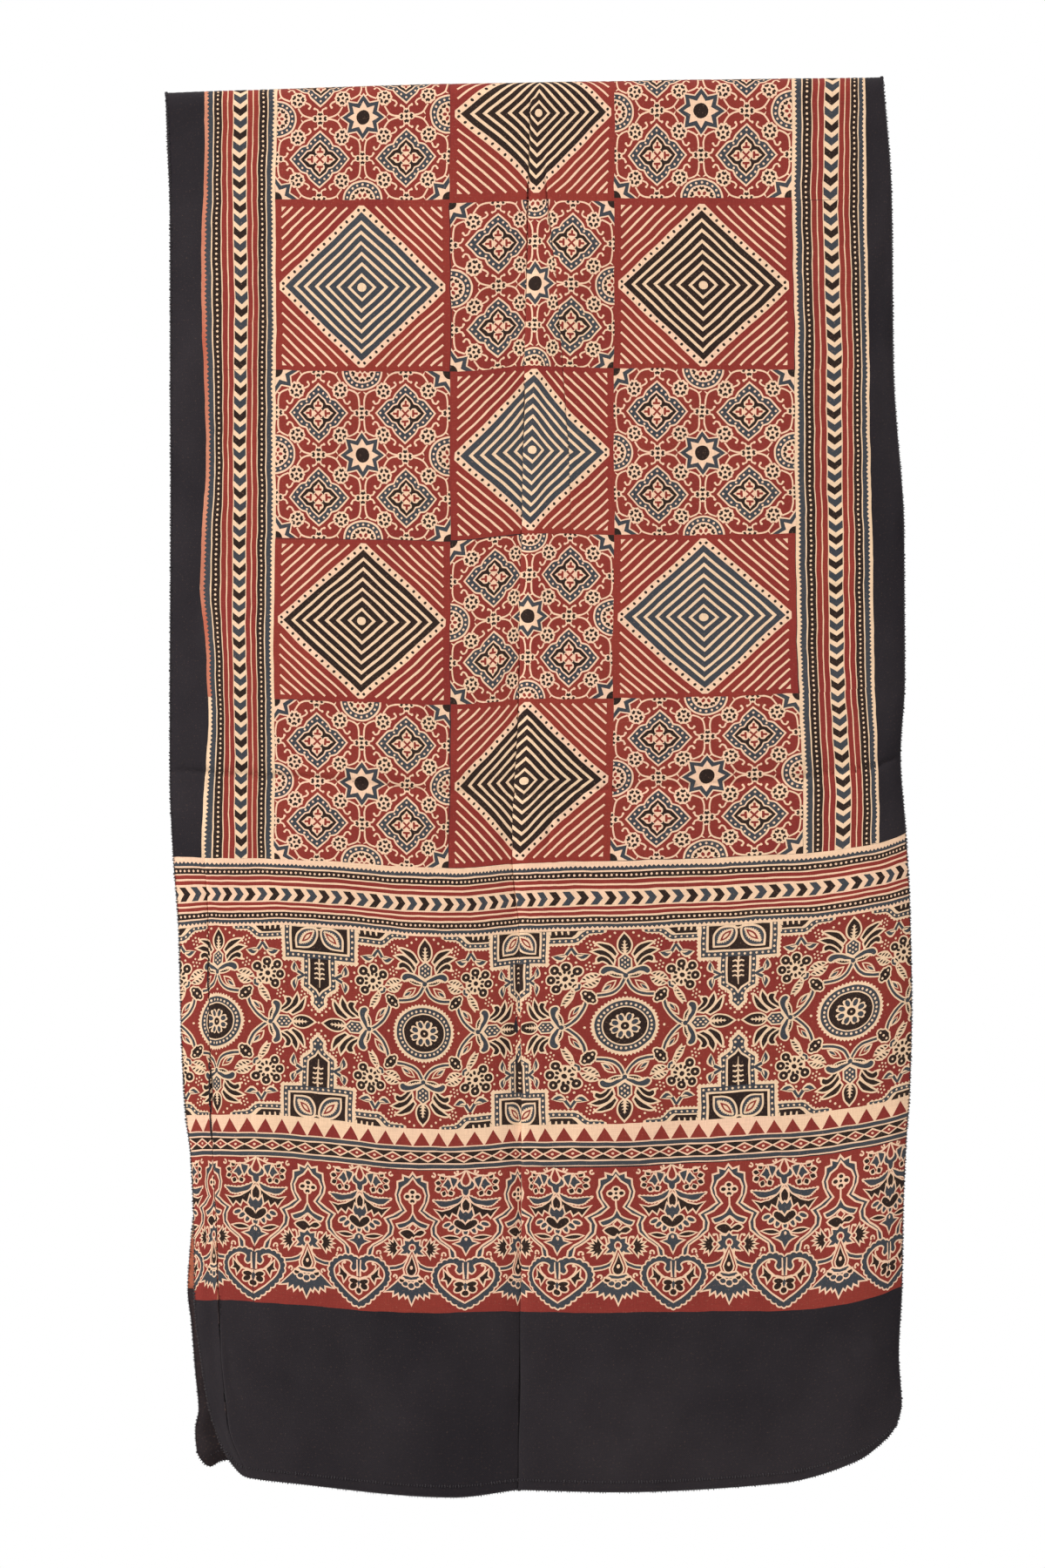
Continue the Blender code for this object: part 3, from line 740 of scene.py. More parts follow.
def arch():
    outer = [(0, 1.4), (4.4, 7.4), (12.4, 5.0), (12.0, 11.4), (18.6, 13.2), (18.9, 21.0), (21.4, 29.0),
             (20.2, 36.0), (15.0, 45.8), (23.6, 51.8), (34.6, 57.6), (29.4, 65.6), (29.8, 73.0), (36.0, 81.4),
             (46.6, 88.6), (52.4, 95.4), (54.0, 106.0)]
    innerTop = [(0, 10.8), (4.4, 16.8), (11.6, 21.8), (15.0, 29.2), (13.4, 37.2), (6.8, 46.8), (16.6, 55.6),
                (25.0, 59.4), (21.6, 67.2), (23.4, 76.6), (33.0, 85.4), (43.6, 92.8), (46.4, 106.0)]
    rim = mirroredOutline(outer)
    inside = mirroredOutline(innerTop)
    out = [(rim, "cream"), (grow(rim, -2.1), "indigo")] + edged(inside, "madder", 2.0)
    out.append(strip(-45, 100, 45, 111, "madder"))
    blades = [(disc(x, y, 5.2, 4.6, 10), "cream")
              for x, y in ((5.6, 30.8), (-5.6, 30.8), (0, 26.4), (0, 35.2))]
    blades += [(disc(x, y, 2.7, 2.1, 8), "iron")
               for x, y in ((6.2, 30.8), (-6.2, 30.8), (0, 25.8), (0, 36.0))]
    out += blades + dots([(0, 30.8)], 2.9, sides=8) + dots([(0, 30.8)], 1.6, "iron")
    bell = [(0, 50.4), (0, 50.4), (3.6, 57.4), (10, 61.2), (18, 63.8), (18, 63.8), (15.6, 67.4), (8.6, 65.2),
            (3.4, 61.4), (0, 59.4)]
    out.append((ribbon([(0, 37), (0, 52)], 2.0), "cream"))
    out += edged(curve(mirroredOutline(bell), 2), "indigo", 1.9)
    out += edged(np.array([(0, 62.6), (3.8, 66.6), (0, 71), (-3.8, 66.6)]), "madder", 1.5)
    bud = [(0, 79.6), (0, 79.6), (4.0, 75.6), (9.6, 76.0), (14.4, 72.6), (10.6, 70.0), (6.0, 71.4),
           (2.6, 74.6), (0, 72.0), (-4.6, 69.6), (-10.2, 70.4), (-14.4, 73.4), (-10.4, 77.0), (-5.4, 79.8)]
    out += edged(curve(bud, 2), "iron", 1.9)
    # the pair of spiky fans and the blue stalk between them
    fan = []
    for k in range(7):
        a = math.radians(-78 + 26 * k)
        fan.append((19.6 + 11.4 * math.cos(a), 92.0 + 10.6 * math.sin(a)))
        if k < 6:
            a = math.radians(-65 + 26 * k)
            fan.append((19.6 + 6.0 * math.cos(a), 92.0 + 6.0 * math.sin(a)))
    fan += [(17.6, 95.6), (15.4, 92.0), (17.6, 88.4)]
    out += leftToo(edged(np.array(fan), "iron", 1.9) + dots([(15.8, 92)], 3.4, sides=8)
                   + dots([(15.8, 92)], 1.9, "madder"))
    out += leftToo(hook([(12.0, 90), (12.6, 84), (14.4, 80.6), (17.2, 81.4)], 1.8, 1.8))
    crown = [(0, 79.6), (3.4, 83.4), (8.8, 82.4), (8.2, 87.4), (12.4, 90.4), (9.4, 94.4), (13.6, 98.6),
             (8.4, 98.8), (5.6, 96.0), (4.4, 101.6), (0, 104)]
    out += edged(mirroredOutline(crown), "indigo", 1.9)
    out += [(disc(0, 90.4, 4.4, 4.8, 10), "cream"), (disc(0, 90.4, 2.6, 3.0, 8), "madder")]
    stalk = curve([(2.2, 98), (3.6, 105), (9.0, 111.6), (18, 115.4), (27, 116.4)], 3, False)
    loop = curve([(13.4, 100), (6.6, 99.4), (5.4, 104.0), (9.4, 108.6)], 3, False)
    out += leftToo([(ribbon(stalk, 6.0), "cream"), (ribbon(stalk, 2.9), "indigo"),
                    (ribbon(loop, 1.8), "cream")])
    drop = curve(mirroredOutline([(0, 99), (0, 99), (3.4, 109), (6.4, 117), (4.0, 123), (0, 124.4)]), 2)
    out += [(grow(drop, spread), ink)
            for spread, ink in ((3.9, "cream"), (2.0, "madder"), (0.7, "cream"), (-1.0, "iron"))]
    out.append((disc(0, 114.6, 1.9, 2.5, 7), "cream"))
    spikes = [(0, 126), (9, 124), (14, 129), (30.6, 143.6), (20.6, 141.8), (21.2, 147.2), (15.4, 143.4),
              (14.4, 149.2), (9.0, 144.4), (7.2, 149.0), (4.4, 146.2), (0, 156.4)]
    out += edged(mirroredOutline(spikes), "indigo", 2.0)
    cells = [(-11.4, 129.4, 3.0, 2.4), (11.4, 129.4, 3.0, 2.4), (-7.0, 133.4, 3.2, 2.6),
             (7.0, 133.4, 3.2, 2.6), (0, 135.6, 3.6, 3.2)]
    out += [(disc(x, y, rx + 1.8, ry + 1.9, 10), "cream") for x, y, rx, ry in cells]
    out += [(disc(x, y, rx, ry, 8), "iron" if abs(x) > 9 else "indigo") for x, y, rx, ry in cells]
    out.append((ribbon([(-15, 126.2), (-7, 128.6), (0, 129.6), (7, 128.6), (15, 126.2)], 1.8), "cream"))
    return out + leftToo(curl(19.6, 125.4, 3.0, 1, 2.0) + curl(38.0, 99.0, 3.4, -1, 0.6)
                         + [(ribbon([(36.6, 102), (34.8, 106.4)], 1.8), "cream")])


def bouquet():
    # hangs between two arches, over a heart
    out = []
    for px, py in ((-27.0, 8.2), (-32.0, 14.4), (-31.6, 21.6), (-24.6, 26.8), (-16.4, 26.6)):
        a = math.atan2(py - 16.6, px + 21.0)
        tip = (px + 5.0 * math.cos(a), py + 4.4 * math.sin(a))
        back = (px - 4.4 * math.cos(a), py - 4.0 * math.sin(a))
        out.append((almond(back, tip, 9.6, 0, 0.55), "cream"))
        out.append((almond((px - 3.4 * math.cos(a), py - 3.0 * math.sin(a)),
                           (px + 3.4 * math.cos(a), py + 3.0 * math.sin(a)), 5.0, 0, 0.5, 4), "iron"))
    for calyx in ([(-26, 17.6), (-22, 19), (-19.6, 22.6), (-17, 19.4), (-14, 15.0), (-17.6, 13.6),
                   (-20.4, 10.4), (-22.6, 13.6)],
                  [(-17.2, 8.0), (-17.2, 8.0), (-9.6, 10.0), (-11.2, 15.6), (-13.6, 19.6), (-13.6, 19.6),
                   (-16.0, 13.6)]):
        out += edged(curve(calyx, 2), "indigo", 1.8)
    out += [(ribbon(curve([(-33, 4.6), (-24, 7.2), (-14, 6.6), (-6, 3.6), (-1, 0.6)], 3, False), 1.8),
             "cream")]
    out += curl(-38.4, 6.0, 3.0, 1, 4.6) + curl(-10.4, 2.2, 2.6, -1, 3.4)
    leaf = curve([(-3.4, 29.6), (-3.4, 29.6), (-12, 34.2), (-22, 36.0), (-36.6, 34.6), (-36.6, 34.6),
                  (-32, 38.4), (-28.4, 41.4), (-22, 42.0), (-15.2, 40.0), (-9.4, 38.6), (-5.6, 34.8)], 2)
    out += [(toothed(grow(leaf, 1.2), 4.2, 1.1, True), "cream"), (leaf, "indigo")]
    zig = np.array([(-1.0, 33.6), (-8.0, 40.0), (-17.4, 45.6), (-27.0, 47.8), (-35.0, 45.4), (-30.2, 50.0),
                    (-26.6, 55.0), (-23.2, 50.4), (-17.6, 54.8), (-15.0, 48.6), (-9.4, 52.4), (-7.6, 44.6),
                    (-3.6, 46.0), (0, 42.0)])
    out += edged(zig, "iron", 1.8)
    fronds = leftToo(out)
    bell = [(0, 8.4), (5.2, 11.4), (8.8, 16.0), (7.4, 20.0), (3.4, 22.0), (2.8, 26.6), (0, 28.8)]
    middle = edged(curve(mirroredOutline(bell), 2), "indigo", 1.9)
    drop = curve(mirroredOutline([(0, 1.4), (0, 1.4), (3.6, 9.6), (3.4, 14.6), (0, 17.0)]), 2)
    middle += [(grow(drop, 1.9), "cream"), (grow(drop, -0.2), "madder")]
    bud = curve(mirroredOutline([(0, 33.6), (0, 33.6), (3.6, 38.6), (3.2, 45.4), (0, 47.6)]), 2)
    middle += edged(bud, "iron", 1.8)
    tulip = mirroredOutline([(0, 48.0), (3.0, 50.4), (6.4, 45.6), (8.0, 52.4), (5.6, 57.0), (2.6, 57.4),
                             (0, 61.4)])
    cells = ((-20.6, 63.4, 0.35), (-15.0, 67.0, 0.7), (-8.4, 70.4, 1.15), (0, 72.4, math.pi / 2),
             (8.4, 70.4, -1.15), (15.0, 67.0, -0.7), (20.6, 63.4, -0.35))
    middle += [(disc(x, y, 6.2, 4.2, 10, -turn), "cream") for x, y, turn in cells]
    middle += [(disc(x, y, 4.3, 2.2, 8, -turn), "indigo") for x, y, turn in cells]
    dark = curve(mirroredOutline([(0, 70.6), (6, 68.4), (12.4, 62.6), (10.4, 58.2), (5.6, 58.6),
                                  (0, 63.0)]), 2)
    middle += edged(dark, "iron", 1.7) + edged(tulip, "indigo", 1.8)
    for s in (1, -1):
        middle += edged(almond((7.0 * s, 80.6), (25.6 * s, 78.4), 4.0), "iron", 1.7)
    tip = mirroredOutline([(0, 77.6), (4.0, 79.6), (6.2, 84.8), (12.2, 86.4), (7.6, 88.2), (3.4, 91.0),
                           (0, 98.2)])
    return fronds + middle + edged(tip, "indigo", 1.9) + [(disc(0, 81.6, 1.7, 2.2, 6), "cream")]


def heartRepeat():
    # origin at the top, on an arch's axis; the hearts sit on the cuts at both sides
    w, h = heartRow["repeat"] / 2, heartRow["tall"]
    out = [strip(-w, 0, w, h, "madder")]
    out += arch()
    side = bouquet() + heart()
    out += moved(side, w) + moved(side, -w)
    return clipped(out, -w, 0, w, h)


# the sheet's hang, as in the solid's source
clothWidth = 587.4
frontLength = 1073.8
backLength = 1080.0
foldRadius = 12.0
quarterTurn = foldRadius * math.pi / 2
easeLength = 150.0
# the crosswise storage crease presses the cloth back a little
pressedBack = {"deep": 1.6, "down": 536, "reach": 9.0}

# front layer: side edges, measured across the width at lengths below the fold
frontEdges = {
    "down": [0, 95, 220.4, 345.8, 471.2, 534.6, 596.6, 648.1, 726, 794.6, 825, 884.4,
             935.9, 990, 1036.2, 1073.8],
    "left": [-271.9, -268.6, -268.3, -268.0, -268.6, -268.6, -266.0, -262.0, -260.0, -256.7,
             -252.8, -250.1, -249.8, -244.9, -238.9, -228.4],
    "right": [271.3, 278.5, 279.8, 287.8, 288.4, 285.1, 289.1, 292.1, 293.7, 292.1, 289.7,
              287.1, 286.4, 283.8, 286.1, 280.5],
}

# front layer: where five lines that run down the cloth hang, by their place in the width
innerPlaces = [86.8, 224.7, 362.7, 500.6, 558.0]
innerLines = {
    "down": [0, 345.8, 471.2, 596.6, 726, 825, 935.9, 1073.8],
    86.8: [-187.4, -188.8, -189.4, -189.4, -188.8, -190.4, -191.7, -172.9],
    224.7: [-56.1, -56.1, -56.1, -56.8, -59.1, -59.4, -59.7, -52.8],
    362.7: [68.6, 68.0, 68.0, 65.3, 66.2, 67.3, 69.0, 66.0],
    500.6: [202.6, 205.9, 208.2, 211.2, 207.7, 207.9, 207.9, 193.4],
    558.0: [258.1, 263.3, 266.0, 268.6, 266.4, 265.3, 263.3, 254.1],
}

# two long creases: place in the width, and where the cloth hangs before and after each
middleCrease = {
    "down": [0, 95, 345.8, 471.2, 596.6, 648.1, 726, 825, 935.9, 1073.8],
    "place": [282.5, 282.5, 282.5, 282.5, 283.8, 286.4, 288.4, 286.4, 283.8, 283.8],
    "before": [4.0, 2.6, -2.0, -4.6, -9.2, -4.0, -2.6, -2.3, -3.3, -5.3],
    "after": [13.2, 11.9, 7.3, 5.3, 0.7, 3.3, 4.3, 4.0, 3.0, 1.3],
    "take": 13.9,
}
leftCrease = {
    "down": [0, 95, 534.6, 596.6, 648.1, 726, 794.6, 884.4, 935.9, 1036.2, 1073.8],
    "place": [26.4, 26.4, 26.4, 26.4, 26.4, 26.4, 27.7, 35.6, 37.0, 37.0, 37.0],
    "before": [-245.8, -244.8, -244.0, -242.2, -239.6, -238.6, -237.6, -233.0, -231.7,
               -224.4, -209.2],
    "after": [-236.9, -236.3, -235.5, -234.0, -234.3, -235.3, -234.0, -229.0, -227.7,
              -219.1, -202.0],
    "take": 9.2,
}

# front layer: height of lines across the cloth, one row each, by place in the width
heightPlaces = [0, 35.6, 86.8, 224.7, 290.4, 362.7, 500.6, 558.0, 587.4]
heightRows = {
    0: [-7.3, -5.9, -4.3, -0.3, 0.7, 1.7, 3.6, 4.3, 4.6],
    95: [-90.4, -90.8, -90.8, -90.8, -87.5, -89.4, -88.8, -88.1, -87.5],
    345.8: [-343.5, -344.2, -344.9, -346.8, -341.6, -343.5, -342.2, -340.2, -338.2],
    596.6: [-586.4, -587.1, -588.4, -595.0, -592.0, -589.7, -583.8, -575.2, -567.9],
    648.1: [-641.2, -638.6, -638.6, -647.1, -643.8, -641.2, -635.2, -626.7, -620.7],
    794.6: [-782.4, -781.8, -783.1, -793.0, -789.7, -788.4, -781.1, -773.2, -767.2],
    935.9: [-921.7, -921.4, -923.7, -931.6, -930.9, -930.9, -928.3, -919.7, -911.8],
    1036.2: [-1003.5, -1017.4, -1023.3, -1031.9, -1029.9, -1030.6, -1024.0, -1012.1, -1000.2],
    1073.8: [-1037.2, -1056.3, -1061.0, -1071.5, -1065.9, -1067.5, -1061.0, -1043.1, -1022.0],
}

# back layer: side edges by height, and the height of its hem by place in the width
backEdges = {
    "height": [-1050, -1040, -1022, -1007, -977, -940, -916, -874, -838, -794, -596, -266,
               -68, 1],
    "left": [-245.5, -248.6, -250.1, -247.5, -250.1, -253.1, -255.8, -253.1, -249.4, -253.4,
             -260.7, -266.0, -268.0, -271.9],
    "right": [274.0, 277.0, 279.0, 279.0, 279.5, 280.5, 281.0, 282.0, 283.0, 286.0, 283.0,
              278.0, 274.0, 271.3],
}
backHem = {
    "place": [0, 6, 20, 60, 290, 500, 560, 587.4],
    "height": [-1047.0, -1050.5, -1045.5, -1044.0, -1050.0, -1044.0, -1024.0, -1006.0],
}

# how far each layer stands off its plane beside the gap, by place in the width
frontWave = {
    "place": [0, 10, 26, 37, 62, 130, 205, 262, 283.8, 298, 326, 372, 440, 505, 548, 574, 587.4],
    "upper": [2, 3.5, 5.5, 6.5, 7, 7.5, 6, 5, 4, 7, 7.5, 6, 4.5, 4.5, 5.5, 4, 2.5],
    "lower": [3, 6, 8.5, 10.5, 12.5, 14, 11, 7, 4, 10, 11, 9, 6, 6, 9, 7, 3.5],
    "hem": [1, 3, 6, 9, 12.5, 15, 14, 10, 7, 11, 13, 14, 11, 10, 10, 5, 1.5],
}
backWave = {
    "place": [0, 22, 60, 150, 240, 330, 420, 500, 560, 587.4],
    "upper": [2, 3.5, 5, 3, 4, 6, 4, 3, 4.5, 3],
    "lower": [3, 6, 9, 5, 7, 10, 7, 5, 8, 5],
    "hem": [2, 5, 11, 6, 9, 13, 9, 6, 9, 5],
}


def smoothLine(places, values, wanted):
    # a smooth curve through the points that never overshoots them
    px = np.asarray(places, float)
    py = np.asarray(values, float)
    step = np.diff(px)
    rise = np.diff(py) / step
    slope = np.zeros(len(px))
    slope[0] = rise[0]
    slope[-1] = rise[-1]
    for i in range(1, len(px) - 1):
        if rise[i - 1] * rise[i] > 0:
            before = 2 * step[i] + step[i - 1]
            after = step[i] + 2 * step[i - 1]
            slope[i] = (before + after) / (before / rise[i - 1] + after / rise[i])
    want = np.clip(np.asarray(wanted, float), px[0], px[-1])
    seg = np.clip(np.searchsorted(px, want, side="right") - 1, 0, len(step) - 1)
    t = (want - px[seg]) / step[seg]
    h = step[seg]
    return (py[seg] * (1 + 2 * t) * (1 - t) ** 2 + slope[seg] * h * t * (1 - t) ** 2
            + py[seg + 1] * t * t * (3 - 2 * t) + slope[seg + 1] * h * t * t * (t - 1))


def ease(start, end, value):
    t = min(max((value - start) / (end - start), 0.0), 1.0)
    return t * t * (3 - 2 * t)


# the lengths between which the waves' upper section gives way to the lower, and where the hem's begins
waveSections = {"from": 200, "to": 820, "hem": 0.78}


def standOff(wave, across, down, length):
    # upper section near the fold, lower section at three quarters, then the hem's
    low = ease(waveSections["from"], waveSections["to"], down)
    hem = ease(waveSections["hem"] * length, length, down)
    table = (1 - low) * np.array(wave["upper"]) + low * np.array(wave["lower"])
    table = (1 - hem) * table + hem * np.array(wave["hem"])
    return smoothLine(wave["place"], table, across) * ease(quarterTurn, easeLength, down)


def foldTop(across):
    return smoothLine(heightPlaces, heightRows[0], across)


def frontHeights(across, down):
    # one row's heights: each column of the table is read down, then across
    columns = []
    for k, top in enumerate(heightRows[0]):
        rows = [quarterTurn] + [r for r in heightRows if r > 0]
        heights = [top - foldRadius] + [heightRows[r][k] for r in heightRows if r > 0]
        columns.append(float(smoothLine(rows, heights, down)))
    return smoothLine(heightPlaces, columns, across)


def frontSides(across, down):
    def read(table, key):
        return float(smoothLine(table["down"], table[key], down))

    # from the left edge: a crease and the lines after it, twice, then the right edge
    places, sides = [0.0], [read(frontEdges, "left")]
    for crease, inner in ((leftCrease, innerPlaces[:2]), (middleCrease, innerPlaces[2:])):
        at = read(crease, "place")
        places += [at, at + crease["take"]] + inner
        sides += [read(crease, "before"), read(crease, "after")] + [read(innerLines, place)
                                                                    for place in inner]
    return smoothLine(places + [clothWidth], sides + [read(frontEdges, "right")], across)


def frontRow(across, down):
    side = frontSides(across, max(down, 0.0))
    if down <= quarterTurn:
        turn = down / foldRadius
        height = foldTop(across) - foldRadius * (1 - math.cos(turn))
        depth = np.full(len(across), -foldRadius * math.sin(turn))
        return side, depth, height
    off = standOff(frontWave, across, down, frontLength)
    off = off - pressedBack["deep"] * math.exp(-((down - pressedBack["down"]) / pressedBack["reach"]) ** 2)
    return side, -foldRadius - off, frontHeights(across, down)


def backRow(across, down):
    top = foldTop(across)
    if down <= quarterTurn:
        turn = down / foldRadius
        height = top - foldRadius * (1 - math.cos(turn))
        depth = np.full(len(across), foldRadius * math.sin(turn))
    else:
        hem = smoothLine(backHem["place"], backHem["height"], across)
        share = (down - quarterTurn) / (backLength - quarterTurn)
        height = (top - foldRadius) + share * (hem - top + foldRadius)
        depth = foldRadius + standOff(backWave, across, down, backLength)
    left = smoothLine(backEdges["height"], backEdges["left"], height)
    right = smoothLine(backEdges["height"], backEdges["right"], height)
    # near the fold the back layer shares the front layer's spacing
    own = left + (right - left) * across / clothWidth
    shared = frontSides(across, 0.0)
    keep = ease(0, easeLength, down)
    return shared * (1 - keep) + own * keep, depth, height


# three sharp pleats that swallow some of the print: the place across the sheet where each starts,
# how much cloth goes into it, and how far the cloth on its right stands proud, by length below the fold
pleats = {
    "middle": dict(middleCrease, sharp=[0.2, 1, 1, 1, 1, 1, 1, 1, 0.8, 0.5],
                   proud=[0, 1.4, 2.0, 1.6, 1.2, 1.0, 0.8, 0.8, 0.6, 0.3], split=0.45),
    "upper": {"down": [0, 60, 86, 151, 220, 282, 340, 360, 478, 500, 566, 610, 640, 1073.8],
              "place": [296.6, 297, 301, 312.5, 320, 326, 328.5, 329, 333, 331, 320, 312, 309, 309],
              "take": 26.0, "sharp": [0, 0, 0.6, 1, 1, 1, 0.8, 0, 0, 0.7, 0.7, 0.3, 0, 0], "proud": [0] * 14,
              "split": 0.62},
    "left": {"down": [0, 480, 560, 596.6, 648.1, 726, 794.6, 884.4, 935.9, 1036.2, 1073.8],
             "place": [26.4, 26.4, 26.4, 26.4, 26.4, 26.4, 27.7, 35.6, 37.0, 37.0, 37.0],
             "take": 9.2, "sharp": [0, 0, 0.4, 0.8, 0.8, 0.8, 0.8, 0.9, 0.9, 0.6, 0.3],
             "proud": [0, 0, 0.4, 0.8, 1.2, 1.4, 1.4, 1.2, 1.0, 0.6, 0.2], "split": 0.4},
}
# how wide a pleat's mouth shows, the least cloth that makes one, how far its proud side takes to settle
pleatLook = {"mouth": 0.8, "least": 0.4, "settles": 34.0, "slack": 0.9}
pleatsFrom = 20   # above this the cloth lies flat over the turn
# slight creases and wrinkles: a line of (place, length below the fold), how deep (below zero)
# or proud, and how far each flank reaches, left then right
creaseLines = [
    {"line": [(28, 560), (27, 650), (28, 735), (33, 800)], "deep": -0.5, "flanks": (3.5, 1.8),
     "ends": (70, 40)},
    {"line": [(0, 530), (120, 531), (290, 543), (440, 539), (587, 534)], "deep": -1.8, "flanks": (1.4, 2.4),
     "ends": (10, 10)},
    {"line": [(0, 534), (120, 536), (290, 548), (440, 544), (587, 539)], "deep": 0.6, "flanks": (2.4, 6.0),
     "ends": (10, 10)},
    {"line": [(324, 540), (319, 566), (316, 594)], "deep": -1.2, "flanks": (3.0, 1.2), "ends": (10, 14)},
    {"line": [(556, 1010), (545, 985), (538, 950)], "deep": -1.0, "flanks": (4.0, 3.0), "ends": (25, 25)},
    {"line": [(572, 1000), (560, 972), (556, 946)], "deep": 0.9, "flanks": (4.0, 3.0), "ends": (25, 25)},
    {"line": [(48, 955), (50, 1000), (58, 1040)], "deep": -0.8, "flanks": (5.0, 3.0), "ends": (30, 20)},
    {"line": [(150, 830), (146, 960), (150, 1060)], "deep": -0.5, "flanks": (16.0, 9.0), "ends": (80, 30)},
    {"line": [(470, 900), (452, 990), (440, 1060)], "deep": 0.6, "flanks": (14.0, 12.0), "ends": (60, 30)},
]
# the surface is worked out on a grid, finer across the pleats and round the turn
grid = {"step": 1.5, "fine": 0.5, "fineAcross": ((22, 52), (276, 350)), "turnSteps": 18, "backRows": 708,
        "frontRows": 704}


def pleated(us, down, side):
    # sharpens each take-up into a narrow trough; gives the new sides and how deep the cloth dips
    dip = np.zeros(len(us))
    side = side.copy()
    for p in pleats.values():
        sharp = float(np.interp(down, p["down"], p["sharp"]))
        if sharp <= 0:
            continue
        start = float(np.interp(down, p["down"], p["place"]))
        end = start + p["take"]
        a, b = np.interp([start, end], us, side)
        hidden = (end - start) - (b - a)
        if hidden < pleatLook["least"]:
            continue
        mouth = pleatLook["mouth"]
        wall = hidden + mouth
        within = (us >= start) & (us <= end)
        t = us - start
        beyond = a + mouth + (t - wall) * (b - a - mouth) / (end - start - wall)
        new = np.where(t < wall, a + mouth * t / wall, beyond)
        side[within] = side[within] * (1 - sharp) + new[within] * sharp
        proud = float(np.interp(down, p["down"], p["proud"]))
        share = p["split"]
        low = -share * hidden * sharp * pleatLook["slack"]
        deep = np.interp(t, [0, share * wall, wall], [0, low, proud], 0, 0)
        tail = np.where(t >= wall, proud * np.clip(1 - (t - wall) / pleatLook["settles"], 0, 1) ** 1.5, 0)
        dip += np.where((t > 0) & (t < wall), deep, tail)
    return side, dip


def creaseRelief(c, across, down):
    # signed distance to the line decides the flank; the crease dies away at both ends
    pts = np.array(c["line"], float)
    if abs(pts[-1, 0] - pts[0, 0]) > abs(pts[-1, 1] - pts[0, 1]):
        off = down - np.interp(across, pts[:, 0], pts[:, 1])
        run, first, last = across, pts[0, 0], pts[-1, 0]
    else:
        order = pts[np.argsort(pts[:, 1])]
        off = across - np.interp(down, order[:, 1], order[:, 0])
        run, first, last = down, order[0, 1], order[-1, 1]
    reach = np.where(off < 0, c["flanks"][0], c["flanks"][1])
    fade = np.clip((run - first) / c["ends"][0], 0, 1) * np.clip((last - run) / c["ends"][1], 0, 1)
    return c["deep"] * np.exp(-(off / reach) ** 2) * fade * fade * (3 - 2 * fade)


rippleLook = {"seed": 11, "waves": ((95, 0.30), (60, 0.16), (38, 0.10), (22, 0.055), (12, 0.03))}


def ripples(across, down):
    # slight unevenness of cloth that has been folded and handled
    out = np.zeros_like(across)
    rng = np.random.default_rng(rippleLook["seed"])
    for wave, height in rippleLook["waves"]:
        for k in range(3):
            way = rng.normal(0, 0.5) + (0.2 if k else 1.4)
            start = rng.uniform(0, 6.28)
            phase = (across * math.cos(way) + down * math.sin(way) * 0.75) * 2 * math.pi / wave
            out += height * np.sin(phase + start + 0.8 * np.sin(down / 70 + k + wave))
    return out


def buildSurface():
    fine = [np.arange(low, high, grid["fine"]) for low, high in grid["fineAcross"]]
    us = np.unique(np.concatenate([np.arange(0, clothWidth, grid["step"]), *fine, [clothWidth]]))
    turn = np.arange(-quarterTurn, quarterTurn + 0.1, quarterTurn / grid["turnSteps"])
    behind = np.linspace(-backLength, -quarterTurn, grid["backRows"])[:-1]
    vs = np.concatenate([behind, turn, np.linspace(quarterTurn, frontLength, grid["frontRows"])[1:]])
    spots = np.zeros((len(vs), len(us), 3))
    for i, down in enumerate(vs):
        side, depth, height = backRow(us, -down) if down < 0 else frontRow(us, down)
        if down > pleatsFrom:
            side, dip = pleated(us, down, side)
            depth = depth - dip
        spots[i, :, 0], spots[i, :, 1], spots[i, :, 2] = side, depth, height
    across, down = np.meshgrid(us, vs)
    relief = ripples(across, down) * np.clip((np.abs(down) - pleatsFrom) / 60, 0.15, 1)
    for c in creaseLines:
        relief += creaseRelief(c, across, down)
    relief *= np.clip(np.minimum(across, clothWidth - across) / 6, 0.3, 1)
    spots += facing(spots) * relief[:, :, None]
    return us, vs, spots / 1000, facing(spots)


def facing(spots):
    # the printed side's own direction: forwards in front, backwards behind
    along = np.gradient(spots, axis=0)
    wide = np.gradient(spots, axis=1)
    out = np.cross(along, wide)
    out /= np.maximum(np.linalg.norm(out, axis=2), 1e-9)[:, :, None]
    return out if out[-200, 100, 1] < 0 else -out


surface = buildSurface()
print("cloth surface", surface[2].shape)


def onCloth(across, down):
    # places and directions on the sheet, from millimetres across it and below its fold
    us, vs, spots, ways = surface
    fu = np.clip(np.interp(across, us, np.arange(len(us))), 0, len(us) - 1.0001)
    fv = np.clip(np.interp(down, vs, np.arange(len(vs))), 0, len(vs) - 1.0001)
    i, j = fv.astype(int), fu.astype(int)
    a, b = (fv - i)[:, None], (fu - j)[:, None]
    both = []
    for known in (spots, ways):
        left = known[i, j] * (1 - a) + known[i + 1, j] * a
        right = known[i, j + 1] * (1 - a) + known[i + 1, j + 1] * a
        both.append(left * (1 - b) + right * b)
    both[1] /= np.linalg.norm(both[1], axis=1)[:, None]
    return both


cornerReach = 9.0


